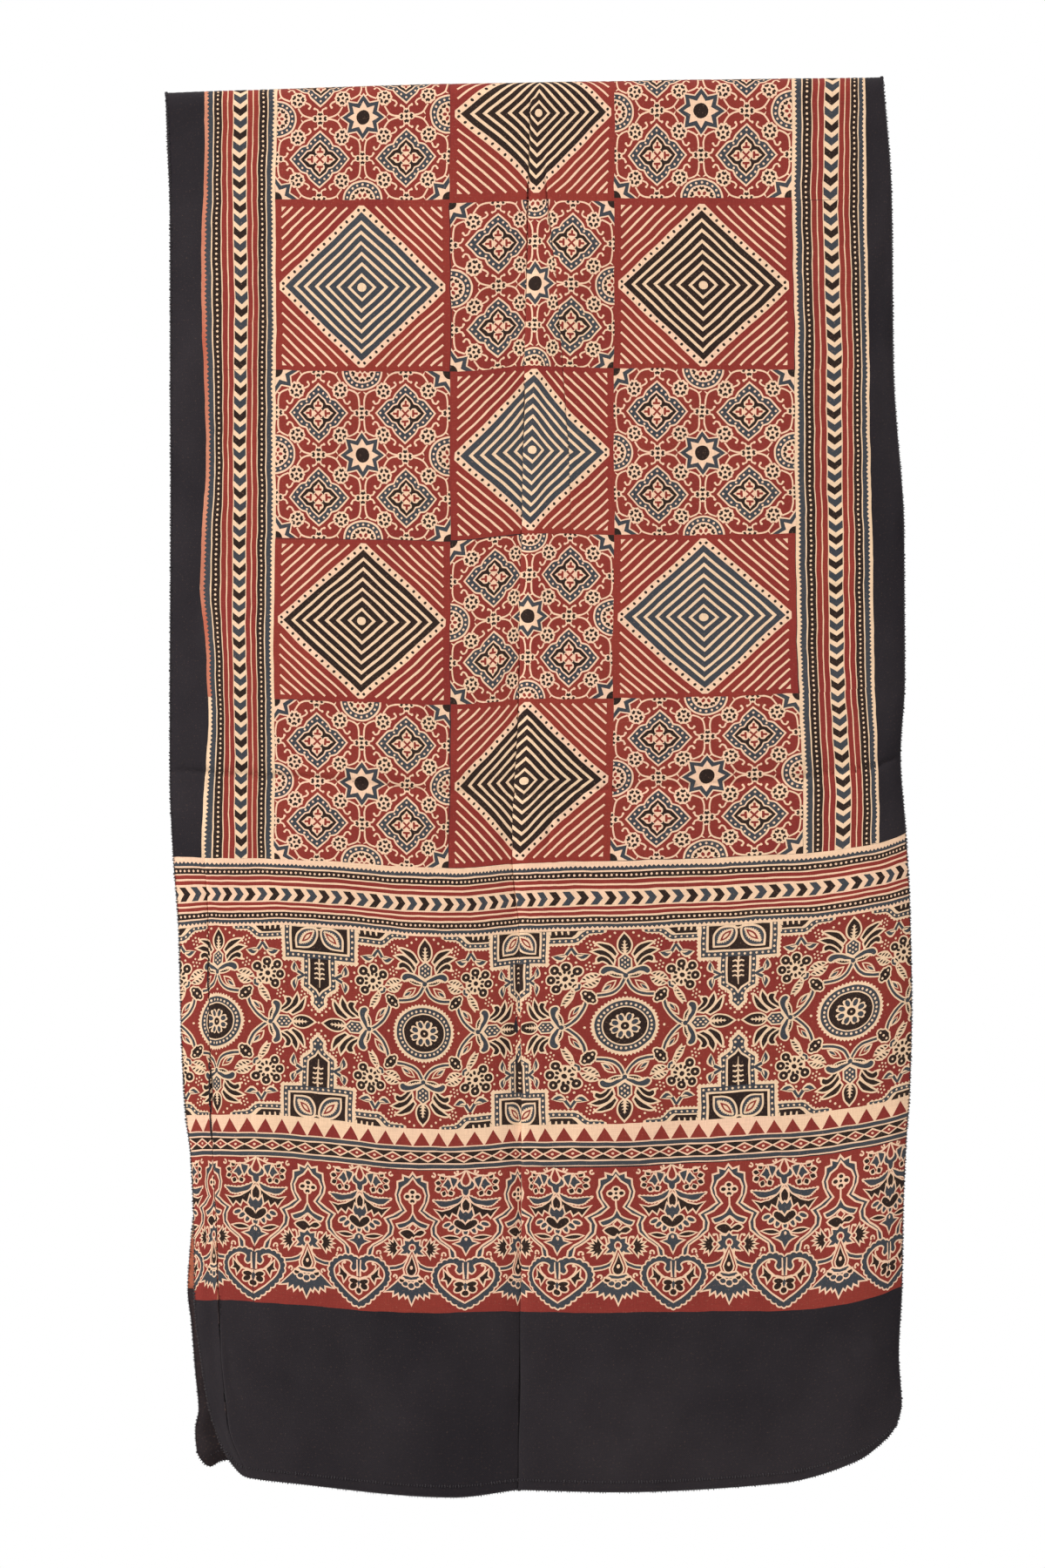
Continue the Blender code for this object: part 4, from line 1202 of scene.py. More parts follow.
def roundCorners(across, down):
    # pulls the outermost millimetres of the four corners in to a small curve
    reach = cornerReach
    for side in (0.0, clothWidth):
        for end in (frontLength, -backLength):
            cu = side + reach * (1 if side == 0 else -1)
            cv = end - reach * (1 if end > 0 else -1)
            du, dv = np.abs(across - cu), np.abs(down - cv)
            inside = ((across - cu) * (side - cu) > 0) & ((down - cv) * (end - cv) > 0)
            far = np.hypot(du, dv)
            square = np.maximum(du, dv)
            shrink = np.where(inside & (far > 1e-6), square / np.maximum(far, 1e-6), 1.0)
            across = cu + (across - cu) * np.where(inside, shrink, 1)
            down = cv + (down - cv) * np.where(inside, shrink, 1)
    return across, down


# where the printed bands lie on the front, in chart squares across and below the fold;
# the back repeats them up to its own end panel
layout = {"borderFrom": 44.5, "fieldFrom": 131.5, "fieldTo": 758.5, "borderTo": 845.5, "wide": 890.0,
          "firstRow": 144.0, "fieldEnd": 904.0, "acrossEnd": 982.0, "medallionEnd": 1204.0,
          "trianglesEnd": 1224.0, "chainEnd": 1252.0, "heartsEnd": 1419.0, "hem": 1627.0, "backShift": 9.4,
          "past": 12, "topShift": 3.0, "barAbove": 8, "barBelow": 4}
frontRows = [("F", "D", "F"), ("I", "F", "D"), ("F", "I", "F"), ("D", "F", "I"), ("F", "D", "F")]
backRows = [("D", "F", "I"), ("F", "I", "F"), ("D", "F", "D"), ("F", "I", "F"), ("I", "F", "D")]
printer = np.random.default_rng(7)
press = {"slip": 0.6, "turn": 0.0022}   # how far a press of a block strays, in squares and in radians


def stamped(shapes, x, y, slip=press["slip"]):
    # one press of a block: never quite on the last one's line, nor quite square
    dx, dy = printer.normal(0, slip * 0.6, 2)
    return moved(shapes, x + dx, y + dy, turn=printer.normal(0, press["turn"]))


def yellower(shapes):
    # the undyed lines beside black and blue are left a little yellower than those beside red
    return [(p, "buff" if ink == "cream" else ink) for p, ink in shapes]


def fieldShapes():
    d = layout
    blocks = {"F": bled(flowerBlock(), 0.05), "D": bled(nestBlock("iron"), 0.1),
              "I": bled(nestBlock("indigo"), 0.1)}
    out = [strip(d["fieldFrom"], d["firstRow"] - d["barAbove"], d["fieldTo"], d["firstRow"] + d["barBelow"],
                 "madderBar")]
    for r in range(-5, 5):
        names = frontRows[r] if r >= 0 else backRows[-r - 1]
        y = d["firstRow"] + (r - 0.5) * block["tall"] - (d["topShift"] if r < 1 else 0.0)
        for k, name in enumerate(names):
            out += stamped(blocks[name], d["fieldFrom"] + (k + 0.5) * block["wide"], y)
    return out


def sideShapes():
    # side borders are laid in block lengths from the end border up over the fold
    out, d = [], layout
    long = block["tall"]
    for k in range(10):
        y1 = d["fieldEnd"] - k * long
        left, right = (yellower(bled(runningBorder(-long / 2, long / 2, outer=ink, first=k), 0.1))
                       for ink in ("rust" if k else "cream", "cream"))
        out += stamped(left, d["borderFrom"], y1 - long / 2, 0.35)
        out += moved(stamped(right, 0, 0, 0.35), d["borderTo"], y1 - long / 2, wide=-1)
    return out


def panelShapes():
    # the end panel, from the border across the cloth to the plain black hem
    d = layout
    across = bled(acrossBorder(-10, d["wide"] + 10), 0.12)
    out = moved(across, 0, d["fieldEnd"])
    repeat = yellower(bled(medallionRepeat(), 0.12))
    mid = (d["acrossEnd"] + d["medallionEnd"]) / 2
    for k in range(4):
        out += stamped(repeat, 60 + k * medallionBand["repeat"], mid, 0.4)
    out += stamped(triangles(-d["past"], d["wide"] + d["past"], -5), 0, d["medallionEnd"], 0.3)
    out += stamped(chain(-d["past"], d["wide"] + d["past"], 3), 0, d["trianglesEnd"], 0.3)
    hearts = bled(heartRepeat(), 0.12)
    for k in range(-1, 8):
        out += stamped(hearts, 48.1 + k * heartRow["repeat"], d["chainEnd"], 0.4)
    return out


def allShapes():
    # black edges and hem run past the sheet's own edge, which the mesh then cuts
    d, past = layout, layout["past"]
    front = panelShapes() + [strip(-past, d["heartsEnd"], d["wide"] + past, d["hem"] + 8, "ground")]
    behind = moved(front, 0, -d["backShift"], tall=-1)
    sides = [strip(x0, -d["fieldEnd"] - 30, x1, d["fieldEnd"], "ground")
             for x0, x1 in ((-past, d["borderFrom"]), (d["borderTo"], d["wide"] + past))]
    return fieldShapes() + sides + sideShapes() + front + behind


printShapes = allShapes()
print("print shapes", len(printShapes), sum(len(p) for p, _ in printShapes))


wobbleLook = {"seed": 5, "waves": ((170, 0.35), (62, 0.22), (27, 0.12), (11, 0.06), (6.5, 0.04))}


def wobble(points):
    # hand printing on cloth that has stretched: no line stays quite straight, in millimetres
    u, v = points[:, 0], points[:, 1]
    out = points.copy()
    rng = np.random.default_rng(wobbleLook["seed"])
    for wave, size in wobbleLook["waves"]:
        for axis in (0, 1):
            for k in range(2):
                way, start = rng.uniform(0, math.pi), rng.uniform(0, 6.28)
                run = u * math.cos(way) + v * math.sin(way)
                out[:, axis] += size * np.sin(run * 2 * math.pi / wave + start)
    return out


# how far the left border's outer lines lean out over the black edge, in millimetres, by length below the fold
lean = {"down": [-10, 28, 48, 88, 127, 157, 207, 246, 266, 306, 345, 385, 405, 424, 464, 484, 504, 543,
                 583, 598],
        "out": [0, -0.5, -1.5, 0.4, 2.8, 3.7, 1.8, -0.2, -1.4, -0.1, 2.9, 4.5, 2.3, -0.2, -1.5, -2.6, -1.1,
                0.9, 4.5, 4.8],
        "across": [0, 29.4, 53.0], "share": [0, 1, 0], "until": 597.0}


def leaned(p):
    if p[:, 1].mean() > lean["until"] or p[:, 0].min() > lean["across"][-1]:
        return p
    out = p.copy()
    share = np.interp(p[:, 0], lean["across"], lean["share"])
    out[:, 0] -= share * np.interp(p[:, 1], lean["down"], lean["out"])
    return out


def finer(p, limit):
    # splits long straight runs so that the cloth can bend them
    q = np.roll(p, -1, 0)
    long = np.hypot(*(q - p).T)
    if long.max() <= limit:
        return p
    out = []
    for a, b, far in zip(p, q, long):
        count = max(1, math.ceil(far / limit))
        out.append(a + (b - a) * (np.arange(count) / count)[:, None])
    return np.vstack(out)


inks = ["ground", "cream", "buff", "madder", "madderBar", "indigo", "iron", "rust"]
printLift = 0.00035
# each printed piece of the sheet: its name and the lengths below the fold that it spans
printBands = [("printFoldRow", -30.4, 95.0), ("printRowTwoThree", 95.0, 345.8),
              ("printRowFourFive", 345.8, 596.6), ("printMedallions", 596.6, 826.3),
              ("printHeartsAndHem", 826.3, 1073.8), ("printBackUpper", -281.2, -30.4),
              ("printBackLower", -602.8, -281.2), ("printBackMedallions", -832.5, -602.8),
              ("printBackHem", -1080.0, -832.5)]
storageCrease = 539.0
# how closely each kind of mesh follows the print: millimetres between plain points, the longest step of an
# outline, how far a point may stray before it is left out (in squares), and the smallest shape it keeps
frontMesh = {"reach": 6.5, "longest": 6.0, "pleatStep": 2.4, "slack": 0.15, "smallest": 0.0}
backMesh = dict(frontMesh, reach=13.0, slack=0.75)
sheetMesh = {"reach": 15.0, "longest": 12.0, "pleatStep": 7.0, "slack": 0.8, "smallest": 40.0}
# plain points lie closer round the turn, and in rows along the storage crease
spacing = {"turn": 24, "turnStep": 2.2, "creaseRows": (-9, 12), "creaseStep": 1.4, "creaseAcross": 8.0}
shapeSpans = [(p[:, 1].min() * chartSquare, p[:, 1].max() * chartSquare) for p, _ in printShapes]


def troughReach(pleat):
    # how far across the sheet a pleat's trough goes from its place
    return 13.0 if pleat["take"] > 20 else 9.0


def evenPoints(first, last, reach, pleatStep):
    # plain points between the print's own, closer where the cloth turns or creases
    down = [first]
    while down[-1] < last - 0.5:
        atTurn = abs(down[-1]) < spacing["turn"]
        down.append(min(down[-1] + (spacing["turnStep"] if atTurn else reach), last))
    rows = []
    for k, v in enumerate(down[1:-1]):
        across = np.arange(reach * (0.5 if k % 2 else 0.9), clothWidth - 1.5, reach)
        rows.append(np.stack([across, np.full(len(across), v)], 1))
    if first < storageCrease < last:
        for k in range(*spacing["creaseRows"]):
            across = np.arange(3.0 + k % 2 * 4, clothWidth - 1.5, spacing["creaseAcross"])
            rows.append(np.stack([across,
                                  np.full(len(across), storageCrease + k * spacing["creaseStep"])], 1))
    if last > 30:
        for p in pleats.values():
            v = np.arange(max(first, pleatsFrom) + 1.3, last - 1, pleatStep)
            v = v[np.interp(v, p["down"], p["sharp"]) > 0]
            for off in np.arange(-1.2, troughReach(p), 1.0):
                rows.append(np.stack([np.interp(v, p["down"], p["place"]) + off, v], 1))
    return np.vstack(rows)


def crossing(p):
    # an outline that runs into a pleat is split fine enough to follow it down and up again
    if p[:, 1].max() < pleatsFrom:
        return p
    q = np.roll(p, -1, 0)
    near = np.zeros(len(p), bool)
    mid = (p[:, 1] + q[:, 1]) / 2
    for k in pleats.values():
        off = np.interp(mid, k["down"], k["place"])
        reach = troughReach(k) + 0.5
        meets = (np.maximum(p[:, 0], q[:, 0]) > off - 2) & (np.minimum(p[:, 0], q[:, 0]) < off + reach)
        near |= meets & (np.interp(mid, k["down"], k["sharp"]) > 0)
    if not near.any():
        return p
    out = []
    for a, b, close in zip(p, q, near):
        count = max(1, math.ceil(abs(b[0] - a[0]) / 1.1)) if close else 1
        out.append(a + (b - a) * (np.arange(count) / count)[:, None])
    return np.vstack(out)


def thinned(p, slack):
    # leaves out points that stray less than the slack from the line between their neighbours
    for turn in range(6):
        a, b = np.roll(p, 1, 0), np.roll(p, -1, 0)
        run, off = b - a, p - a
        away = np.abs(run[:, 0] * off[:, 1] - run[:, 1] * off[:, 0])
        stray = away / np.maximum(np.hypot(run[:, 0], run[:, 1]), 1e-6)
        spare = stray < slack
        spare[turn % 2::2] = False
        spare[-1] &= len(p) % 2 == 0
        if len(p) - spare.sum() < 4:
            break
        p = p[~spare]
    return p


def bandMesh(first, last, look):
    # lays the print's outlines over one another and keeps the last ink pressed on each spot
    outline = finer(np.array([(0.0, first), (clothWidth, first), (clothWidth, last), (0.0, last)]), 4.0)
    loops, colours = [outline], ["ground"]
    for (p, ink), (low, high) in zip(printShapes, shapeSpans):
        if high < first or low > last:
            continue
        span, smallest = p.max(0) - p.min(0), look["smallest"]
        if smallest and (min(span) < smallest and max(span) < smallest * 2.5 or len(p) > 70):
            continue
        q = wobble(crossing(leaned(finer(thinned(p, look["slack"]) * chartSquare, look["longest"]))))
        if area(q) < 0:
            q = q[::-1]
        loops.append(q)
        colours.append(ink)
    points = np.vstack(loops + [evenPoints(first, last, look["reach"], look["pleatStep"])])
    faces, at = [], 0
    for loop in loops:
        faces.append(list(range(at, at + len(loop))))
        at += len(loop)
    spots = [Vector(p) for p in points.tolist()]
    verts, _, tris, _, _, source = geometry.delaunay_2d_cdt(spots, [], faces, 1, 1e-4, True)
    places = np.array([tuple(v) for v in verts])
    kept, ink = [], []
    for tri, owners in zip(tris, source):
        if 0 in owners:
            kept.append(tri)
            ink.append(inks.index(colours[max(owners)]))
    return places, np.array(kept), np.array(ink)


def addPiece(name, places, tris, ink, lift, materials):
    used = np.unique(tris)
    renumber = np.zeros(len(places), int)
    renumber[used] = np.arange(len(used))
    places, tris = places[used], renumber[tris]
    across, down = roundCorners(places[:, 0], places[:, 1])
    spots, ways = onCloth(across, down)
    spots = spots + ways * lift
    a, b, c = (spots[tris[:, k]] for k in range(3))
    turned = (np.cross(b - a, c - a) * ways[tris[:, 0]]).sum(1) < 0
    tris[turned] = tris[turned][:, ::-1]
    mesh = bpy.data.meshes.new(name)
    mesh.from_pydata(spots.tolist(), [], tris.tolist())
    for m in materials:
        mesh.materials.append(m)
    mesh.polygons.foreach_set("material_index", ink)
    flat = mesh.attributes.new("flatPlace", "FLOAT_VECTOR", "POINT")
    flat.data.foreach_set("vector", np.column_stack([places / 1000, np.zeros(len(places))]).ravel())
    uv = mesh.uv_layers.new(name="OFBake")
    low, high = places.min(0), places.max(0)
    corners = ((places - low) / (high - low))[tris.ravel()]
    uv.data.foreach_set("uv", corners.ravel())
    mesh.polygons.foreach_set("use_smooth", np.ones(len(tris), bool))
    mesh.update()
    mesh.normals_split_custom_set_from_vertices(ways.tolist())
    piece = bpy.data.objects.new(name, mesh)
    scene.collection.objects.link(piece)
    return piece


lampShare = 0.855   # the lamp adds to the white surround, so every colour is kept this much lower


def linear(text):
    # an sRGB colour as the photo shows it, made linear for the shader
    out = []
    for k in (0, 2, 4):
        c = int(text[k:k + 2], 16) / 255
        out.append(lampShare * (c / 12.92 if c <= 0.04045 else ((c + 0.055) / 1.055) ** 2.4))
    return (*out, 1.0)


def node(tree, kind, links=None, **values):
    # adds a shader node, sets its own settings and its sockets, and links what feeds it
    made = tree.nodes.new(kind)
    for key, value in values.items():
        setattr(made, key, value)
    for key, value in (links or {}).items():
        socket = made.inputs[key]
        if hasattr(value, "is_output"):
            tree.links.new(value, socket)
        else:
            socket.default_value = value
    return made


cottonLook = {
    # colour, its drift to a second tone, how much of the cloth shows through thin print, roughness, sheen:
    # dyed cotton has a trace of sheen, undyed cotton is the most matt
    "ground": {"colour": "201C20", "drift": "2B2629", "thin": 0.03, "rough": 0.90, "sheen": 0.02},
    "cream": {"colour": "EAC1A4", "drift": "E9C4A2", "thin": 0.0, "rough": 0.92, "sheen": 0.0},
    "buff": {"colour": "E6C5A2", "drift": "E8C5A3", "thin": 0.0, "rough": 0.92, "sheen": 0.0},
    "madder": {"colour": "87342A", "drift": "802D28", "thin": 0.08, "rough": 0.90, "sheen": 0.02},
    "madderBar": {"colour": "8A342A", "drift": "822D28", "thin": 0.08, "rough": 0.90, "sheen": 0.02},
    "indigo": {"colour": "393C42", "drift": "414347", "thin": 0.12, "rough": 0.90, "sheen": 0.02},
    "iron": {"colour": "281C18", "drift": "2E211B", "thin": 0.12, "rough": 0.90, "sheen": 0.02},
    "rust": {"colour": "CB8C6F", "drift": "AE5540", "thin": 0.12, "rough": 0.90, "sheen": 0.02},
}
# the wrong side: the same colours as they soak through, paler and browner
reverseLook = {
    "ground": {"colour": "2A2325", "drift": "322829", "thin": 0.08, "rough": 0.92, "sheen": 0.02},
    "cream": {"colour": "E0B591", "drift": "E4C09C", "thin": 0.0, "rough": 0.92, "sheen": 0.0},
    "buff": {"colour": "E0B591", "drift": "E4C09C", "thin": 0.0, "rough": 0.92, "sheen": 0.0},
    "madder": {"colour": "A65540", "drift": "B2674C", "thin": 0.2, "rough": 0.92, "sheen": 0.02},
    "madderBar": {"colour": "A05A45", "drift": "AC674D", "thin": 0.2, "rough": 0.92, "sheen": 0.02},
    "indigo": {"colour": "6C6463", "drift": "7C706A", "thin": 0.2, "rough": 0.92, "sheen": 0.02},
    "iron": {"colour": "5E4841", "drift": "6E564B", "thin": 0.2, "rough": 0.92, "sheen": 0.02},
    "rust": {"colour": "D38E6C", "drift": "DA9D7C", "thin": 0.15, "rough": 0.92, "sheen": 0.02},
}
bareCotton = "D9A98A"
cottonSurface = {"specular": 0.12, "sheenSpread": 0.6, "roughDrift": 0.06, "bump": 0.35, "cloud": 7.0,
                 "fleck": 620.0}
# threads are drawn about twice as coarse as the real cloth's, which would be lost at this size
weaveSize = {"thread": 0.00075, "rise": 0.00010}


def cottonPrint(name, look):
    # matt plain-weave cotton with one colour of block print in it
    made = bpy.data.materials.new(name)
    made.use_nodes = True
    tree = made.node_tree
    shader = tree.nodes["Principled BSDF"]
    place = node(tree, "ShaderNodeAttribute", attribute_name="flatPlace").outputs["Vector"]
    # the dye bath leaves broad, faint clouds, and each thread takes a little more or less
    cloudLook = {"Vector": place, "Scale": cottonSurface["cloud"], "Detail": 3.0, "Roughness": 0.6}
    cloud = node(tree, "ShaderNodeTexNoise", cloudLook).outputs["Fac"]
    clouds = node(tree, "ShaderNodeMapRange",
                  {"Value": cloud, "From Min": 0.35, "From Max": 0.65}).outputs["Result"]
    tone = node(tree, "ShaderNodeMix", {"Factor": clouds}, data_type="RGBA")
    tone.inputs["A"].default_value = linear(look["colour"])
    tone.inputs["B"].default_value = linear(look["drift"])
    yarns = []
    for fine in ((1500.0, 90.0, 1.0), (90.0, 1500.0, 1.0)):
        stretched = node(tree, "ShaderNodeMapping", {"Vector": place, "Scale": fine}).outputs["Vector"]
        yarns.append(node(tree, "ShaderNodeTexNoise",
                          {"Vector": stretched, "Scale": 1.0, "Detail": 1.0}).outputs["Fac"])
    threads = node(tree, "ShaderNodeMath", {0: yarns[0], 1: yarns[1]}, operation="ADD").outputs["Value"]

    def fromThreads(low, high):
        span = {"Value": threads, "From Min": 0.6, "From Max": 1.4, "To Min": low, "To Max": high}
        return node(tree, "ShaderNodeMapRange", span).outputs["Result"]

    shading = {0: tone.outputs["Result"], "Scale": fromThreads(0.86, 1.14)}
    shaded = node(tree, "ShaderNodeVectorMath", shading, operation="SCALE").outputs["Vector"]
    # where the block pressed lightly the bare cloth shows as pale flecks
    fleckLook = {"Vector": place, "Scale": cottonSurface["fleck"], "Detail": 2.0, "Roughness": 0.7}
    fleck = node(tree, "ShaderNodeTexNoise", fleckLook).outputs["Fac"]
    fleckSpan = {"Value": fleck, "From Min": 0.60, "From Max": 0.76, "To Max": look["thin"] * 2.0}
    flecks = node(tree, "ShaderNodeMapRange", fleckSpan).outputs["Result"]
    bare = node(tree, "ShaderNodeMix", {"Factor": flecks}, data_type="RGBA")
    tree.links.new(shaded, bare.inputs["A"])
    bare.inputs["B"].default_value = linear(bareCotton)
    tree.links.new(bare.outputs["Result"], shader.inputs["Base Color"])
    # roughness drifts with the threads, so that no patch shines evenly
    drift = cottonSurface["roughDrift"]
    tree.links.new(fromThreads(look["rough"] - drift, look["rough"] + drift), shader.inputs["Roughness"])
    shader.inputs["Sheen Weight"].default_value = look["sheen"]
    shader.inputs["Sheen Roughness"].default_value = cottonSurface["sheenSpread"]
    shader.inputs["Specular IOR Level"].default_value = cottonSurface["specular"]
    # plain weave: threads over and under by turns
    scale = math.pi / weaveSize["thread"]
    parts = node(tree, "ShaderNodeSeparateXYZ", {"Vector": place}).outputs
    waves = []
    for axis in ("X", "Y"):
        turn = node(tree, "ShaderNodeMath", {0: parts[axis], 1: scale}, operation="MULTIPLY").outputs["Value"]
        waves.append(node(tree, "ShaderNodeMath", {0: turn}, operation="SINE").outputs["Value"])
    cross = node(tree, "ShaderNodeMath", {0: waves[0], 1: waves[1]}, operation="MULTIPLY").outputs["Value"]
    rise = {0: threads, 1: 1.5, 2: cross}
    height = node(tree, "ShaderNodeMath", rise, operation="MULTIPLY_ADD").outputs["Value"]
    relief = {"Strength": cottonSurface["bump"], "Distance": weaveSize["rise"], "Height": height}
    bump = node(tree, "ShaderNodeBump", relief)
    tree.links.new(bump.outputs["Normal"], shader.inputs["Normal"])
    return made


# the printed side: each ink is the cloth's own colour once dyed, matt and slightly uneven
printInks = [cottonPrint("cotton_" + ink, cottonLook[ink]) for ink in inks]
# the wrong side, where the dyes have only partly soaked through
reverseInks = [cottonPrint("cotton_reverse_" + ink, reverseLook[ink]) for ink in inks]
print("materials made")

# the printed side, piece by piece
printed = []
# each piece runs on under the next by this many millimetres, and every second one lies lower by this much
overlap = 0.3
joinStep = 0.00002
for k, (name, first, last) in enumerate(printBands):
    last = last + overlap if last < frontLength else last
    places, tris, ink = bandMesh(first, last, frontMesh if last > 0 else backMesh)
    piece = addPiece(name, places, tris, ink, printLift - joinStep * (k % 2), printInks)
    printed.append(piece)
    print(name, len(tris))

# the sheet itself with its wrong side: one thin body, its print coarser because it only soaks through
sheetLook = {"lift": -0.0002, "thick": 0.0005, "weld": 0.00002}
sheetCuts = [-1080.0, -602.8, -30.4, 596.6, 1073.8]   # meshed in four lengths and welded
places, tris, ink = [], [], []
for first, last in zip(sheetCuts[:-1], sheetCuts[1:]):
    p, t, k = bandMesh(first, last, sheetMesh)
    tris.append(t + sum(len(q) for q in places))
    places.append(p)
    ink.append(k)
cloth = addPiece("ajrakhCloth", np.vstack(places), np.vstack(tris), np.concatenate(ink), sheetLook["lift"],
                 printInks + reverseInks)
merge = bmesh.new()
merge.from_mesh(cloth.data)
bmesh.ops.remove_doubles(merge, verts=merge.verts, dist=sheetLook["weld"])
merge.to_mesh(cloth.data)
merge.free()
body = cloth.modifiers.new("thickness", "SOLIDIFY")
body.thickness = sheetLook["thick"]
body.offset = -1.0
body.material_offset = len(inks)
print("cloth sheet", len(cloth.data.polygons))

# dark overcast stitches close over the raw edge, wider apart down the sides than along the hems
stitchLook = {"sidePitch": 0.0027, "hemPitch": 0.0021, "loop": 0.00088, "thread": 0.00036, "lean": 0.28,
              "inset": 0.25, "corner": 8, "seed": 4}
# the node group's number sockets, and where each takes its value from
stitchSockets = {"Pitch": "sidePitch", "Loop Radius": "loop", "Thread Radius": "thread", "Lean": "lean"}
threadLook = {"colour": "262226", "drift": "332C30", "thin": 0.0, "rough": 0.8, "sheen": 0.12}


def stitchTree(thread):
    tree = bpy.data.node_groups.new("overcastStitches", "GeometryNodeTree")
    face = tree.interface
    face.new_socket("Geometry", in_out="INPUT", socket_type="NodeSocketGeometry")
    for name, key in stitchSockets.items():
        face.new_socket(name, in_out="INPUT", socket_type="NodeSocketFloat").default_value = stitchLook[key]
    face.new_socket("Seed", in_out="INPUT", socket_type="NodeSocketInt").default_value = stitchLook["seed"]
    face.new_socket("Geometry", in_out="OUTPUT", socket_type="NodeSocketGeometry")
    given = node(tree, "NodeGroupInput").outputs
    run = node(tree, "GeometryNodeMeshToCurve", {"Mesh": given["Geometry"]}).outputs["Curve"]
    even = {"Curve": run, "Length": given["Pitch"]}
    spots = node(tree, "GeometryNodeResampleCurve", even, mode="LENGTH").outputs["Curve"]
    # one loop of thread, of few sides because it is finer than a pixel
    ring, section = (node(tree, "GeometryNodeCurvePrimitiveCircle",
                          {"Resolution": sides, "Radius": given[size]}).outputs["Curve"]
                     for sides, size in ((5, "Loop Radius"), (3, "Thread Radius")))
    loop = node(tree, "GeometryNodeCurveToMesh", {"Curve": ring, "Profile Curve": section}).outputs["Mesh"]
    # each loop leans its own way from the edge's direction, and pulls a little tighter or looser
    along = node(tree, "GeometryNodeInputTangent").outputs["Tangent"]
    lean = node(tree, "FunctionNodeRandomValue", {"Seed": given["Seed"]}, data_type="FLOAT_VECTOR")
    lean.inputs[0].default_value = (-1, -1, -1)
    lean.inputs[1].default_value = (1, 1, 1)
    tilt = {0: lean.outputs[0], "Scale": given["Lean"]}
    tilted = node(tree, "ShaderNodeVectorMath", tilt, operation="SCALE").outputs["Vector"]
    aim = node(tree, "ShaderNodeVectorMath", {0: along, 1: tilted}, operation="ADD").outputs["Vector"]
    turn = node(tree, "FunctionNodeAlignRotationToVector", {"Vector": aim}, axis="Z").outputs["Rotation"]
    size = node(tree, "FunctionNodeRandomValue", {2: 0.7, 3: 1.3, "Seed": given["Seed"]},
                data_type="FLOAT").outputs[1]
    places = {"Points": spots, "Instance": loop, "Rotation": turn, "Scale": size}
    many = node(tree, "GeometryNodeInstanceOnPoints", places).outputs["Instances"]
    real = node(tree, "GeometryNodeRealizeInstances", {"Geometry": many}).outputs["Geometry"]
    coloured = node(tree, "GeometryNodeSetMaterial",
                    {"Geometry": real, "Material": thread}).outputs["Geometry"]
    node(tree, "NodeGroupOutput", {"Geometry": coloured})
    return tree


def edgeRun(points):
    # a run along the sheet's edge, in millimetres across and below the fold
    run = finer(np.array(points, float), 1.0)
    start = len(run) - max(1, math.ceil(math.hypot(*(run[-1] - run[0])) / 1.0))
    across, down = roundCorners(run[:start + 1, 0], run[:start + 1, 1])
    return onCloth(across, down)[0]


def stitches(name, runs, pitch):
    mesh = bpy.data.meshes.new(name + "Path")
    spots = [edgeRun(r) for r in runs]
    links, at = [], 0
    for s in spots:
        links += [(at + k, at + k + 1) for k in range(len(s) - 1)]
        at += len(s)
    mesh.from_pydata(np.vstack(spots).tolist(), links, [])
    path = bpy.data.objects.new(name + "Path", mesh)
    scene.collection.objects.link(path)
    maker = path.modifiers.new("stitches", "NODES")
    maker.node_group = overcast
    values = {name: stitchLook[key] for name, key in stitchSockets.items()}
    values.update({"Pitch": pitch, "Seed": stitchLook["seed"]})
    for item in overcast.interface.items_tree:
        if item.in_out == "INPUT" and item.name in values:
            maker[item.identifier] = values[item.name]
    seen = path.evaluated_get(bpy.context.evaluated_depsgraph_get())
    made = bpy.data.objects.new(name, bpy.data.meshes.new_from_object(seen))
    scene.collection.objects.link(made)
    bpy.data.objects.remove(path, do_unlink=True)
    return made


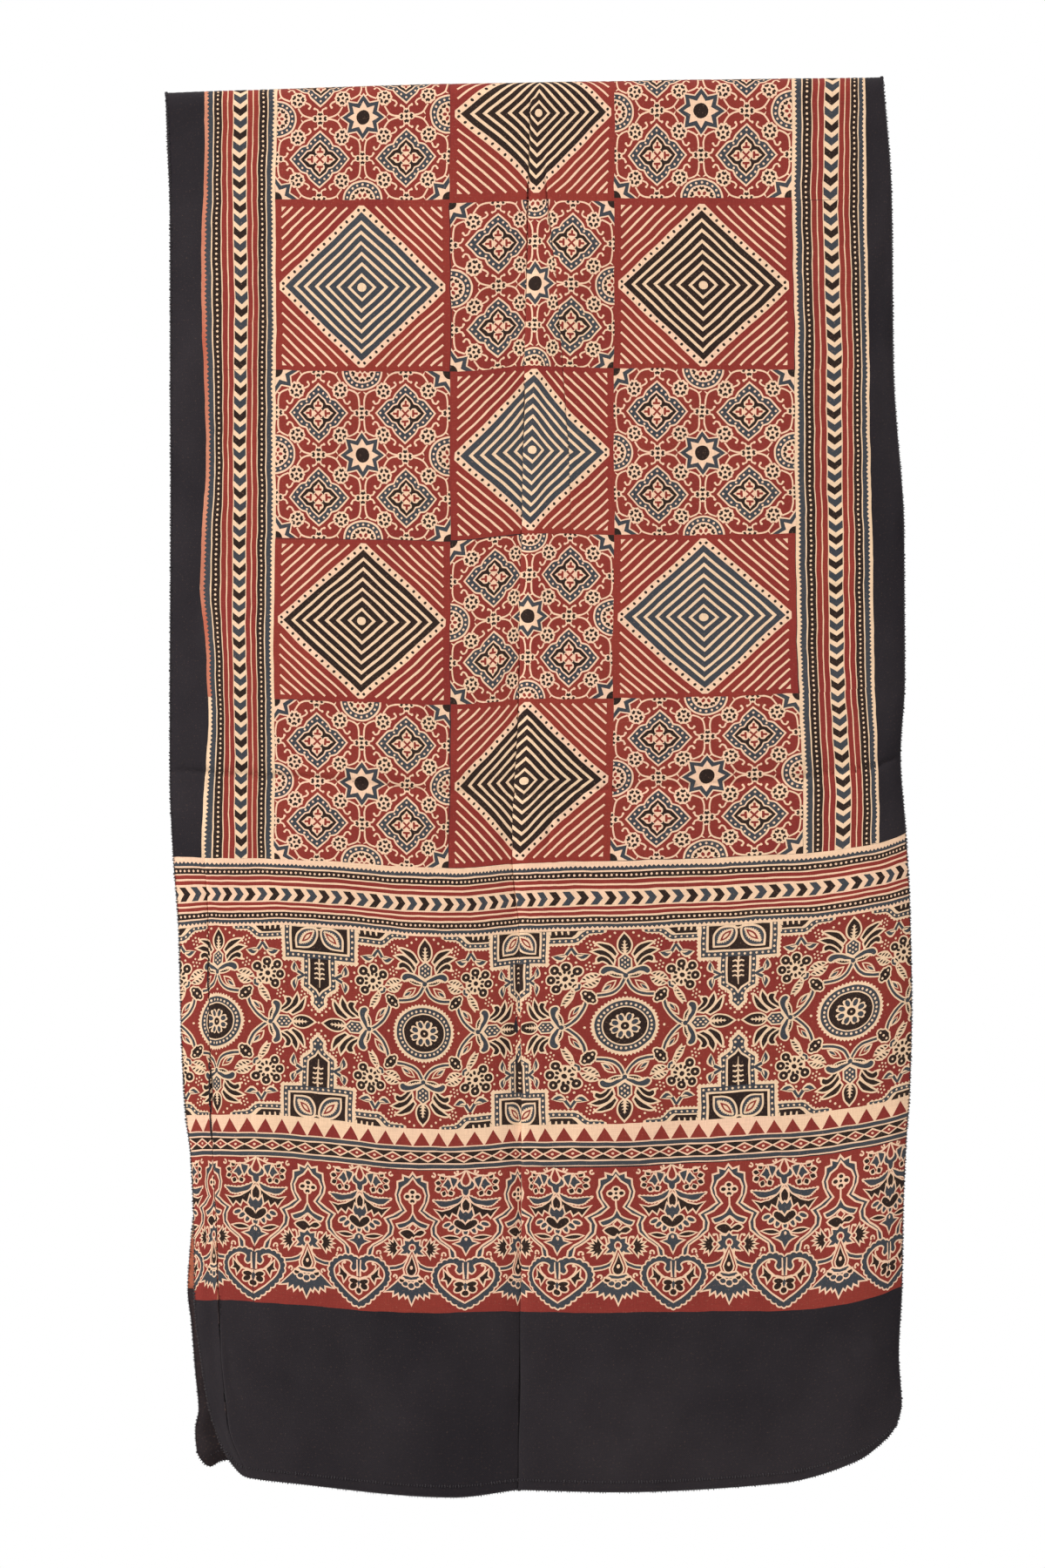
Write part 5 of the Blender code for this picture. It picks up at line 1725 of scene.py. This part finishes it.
# cotton thread, the black of the borders, a little glossier than the cloth it binds
overcast = stitchTree(cottonPrint("cotton_thread_black", threadLook))
n, c, w = stitchLook["inset"], stitchLook["corner"], clothWidth
sideRuns = [[(x, -backLength + c), (x, frontLength - c)] for x in (n, w - n)]
hemRuns = []
for end in (frontLength, -backLength):
    turnIn, along = end - math.copysign(c, end), end - math.copysign(n, end)
    hemRuns.append([(n, turnIn), (n, along), (w - n, along), (w - n, turnIn)])
sideThreads = stitches("overcastSides", sideRuns, stitchLook["sidePitch"])
hemThreads = stitches("overcastHems", hemRuns, stitchLook["hemPitch"])
print("stitches", len(sideThreads.data.polygons), len(hemThreads.data.polygons))


def lightStage():
    # a plain pale floor below the cloth and soft studio light from in front and above
    mesh = bpy.data.meshes.new("floor")
    (x0, y0), (x1, y1), z = lights["floor"]
    mesh.from_pydata([(x0, y0, z), (x1, y0, z), (x1, y1, z), (x0, y1, z)], [], [(0, 1, 2, 3)])
    floor = bpy.data.objects.new("floor", mesh)
    scene.collection.objects.link(floor)
    pale = bpy.data.materials.new("pale_floor_matt_paint")
    pale.use_nodes = True
    paint = pale.node_tree.nodes["Principled BSDF"].inputs
    paint["Base Color"].default_value = linear("E9E8E6")
    paint["Roughness"].default_value = 0.9
    mesh.materials.append(pale)
    world = bpy.data.worlds.new("paleStudio")
    scene.world = world
    world.use_nodes = True
    sky = world.node_tree.nodes["Background"]
    sky.inputs["Color"].default_value = (1.0, 1.0, 1.0, 1.0)
    sky.inputs["Strength"].default_value = lights["world"]
    for name, spot, size, power in lights["areas"]:
        data = bpy.data.lights.new(name, "AREA")
        data.shape = "RECTANGLE"
        data.size, data.size_y = size
        data.energy = power
        lamp = bpy.data.objects.new(name, data)
        lamp.location = spot
        aim = Vector(lights["aimedAt"]) - Vector(spot)
        lamp.rotation_euler = aim.to_track_quat("-Z", "Y").to_euler()
        scene.collection.objects.link(lamp)
    return floor


lights = {"world": 1.0, "areas": [("keyLeft", (-2.7, -1.5, 1.5), (0.8, 1.2), 115.0)],
          "aimedAt": (0.0, 0.0, -0.53), "floor": ((-4, -1.2), (4, 3), -1.45)}
floor = lightStage()
scene.view_settings.view_transform = "Standard"

onSheet = printed + [sideThreads, hemThreads]
for piece in [cloth] + onSheet:
    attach(piece, "root")
    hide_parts("ajrakh_cloth")
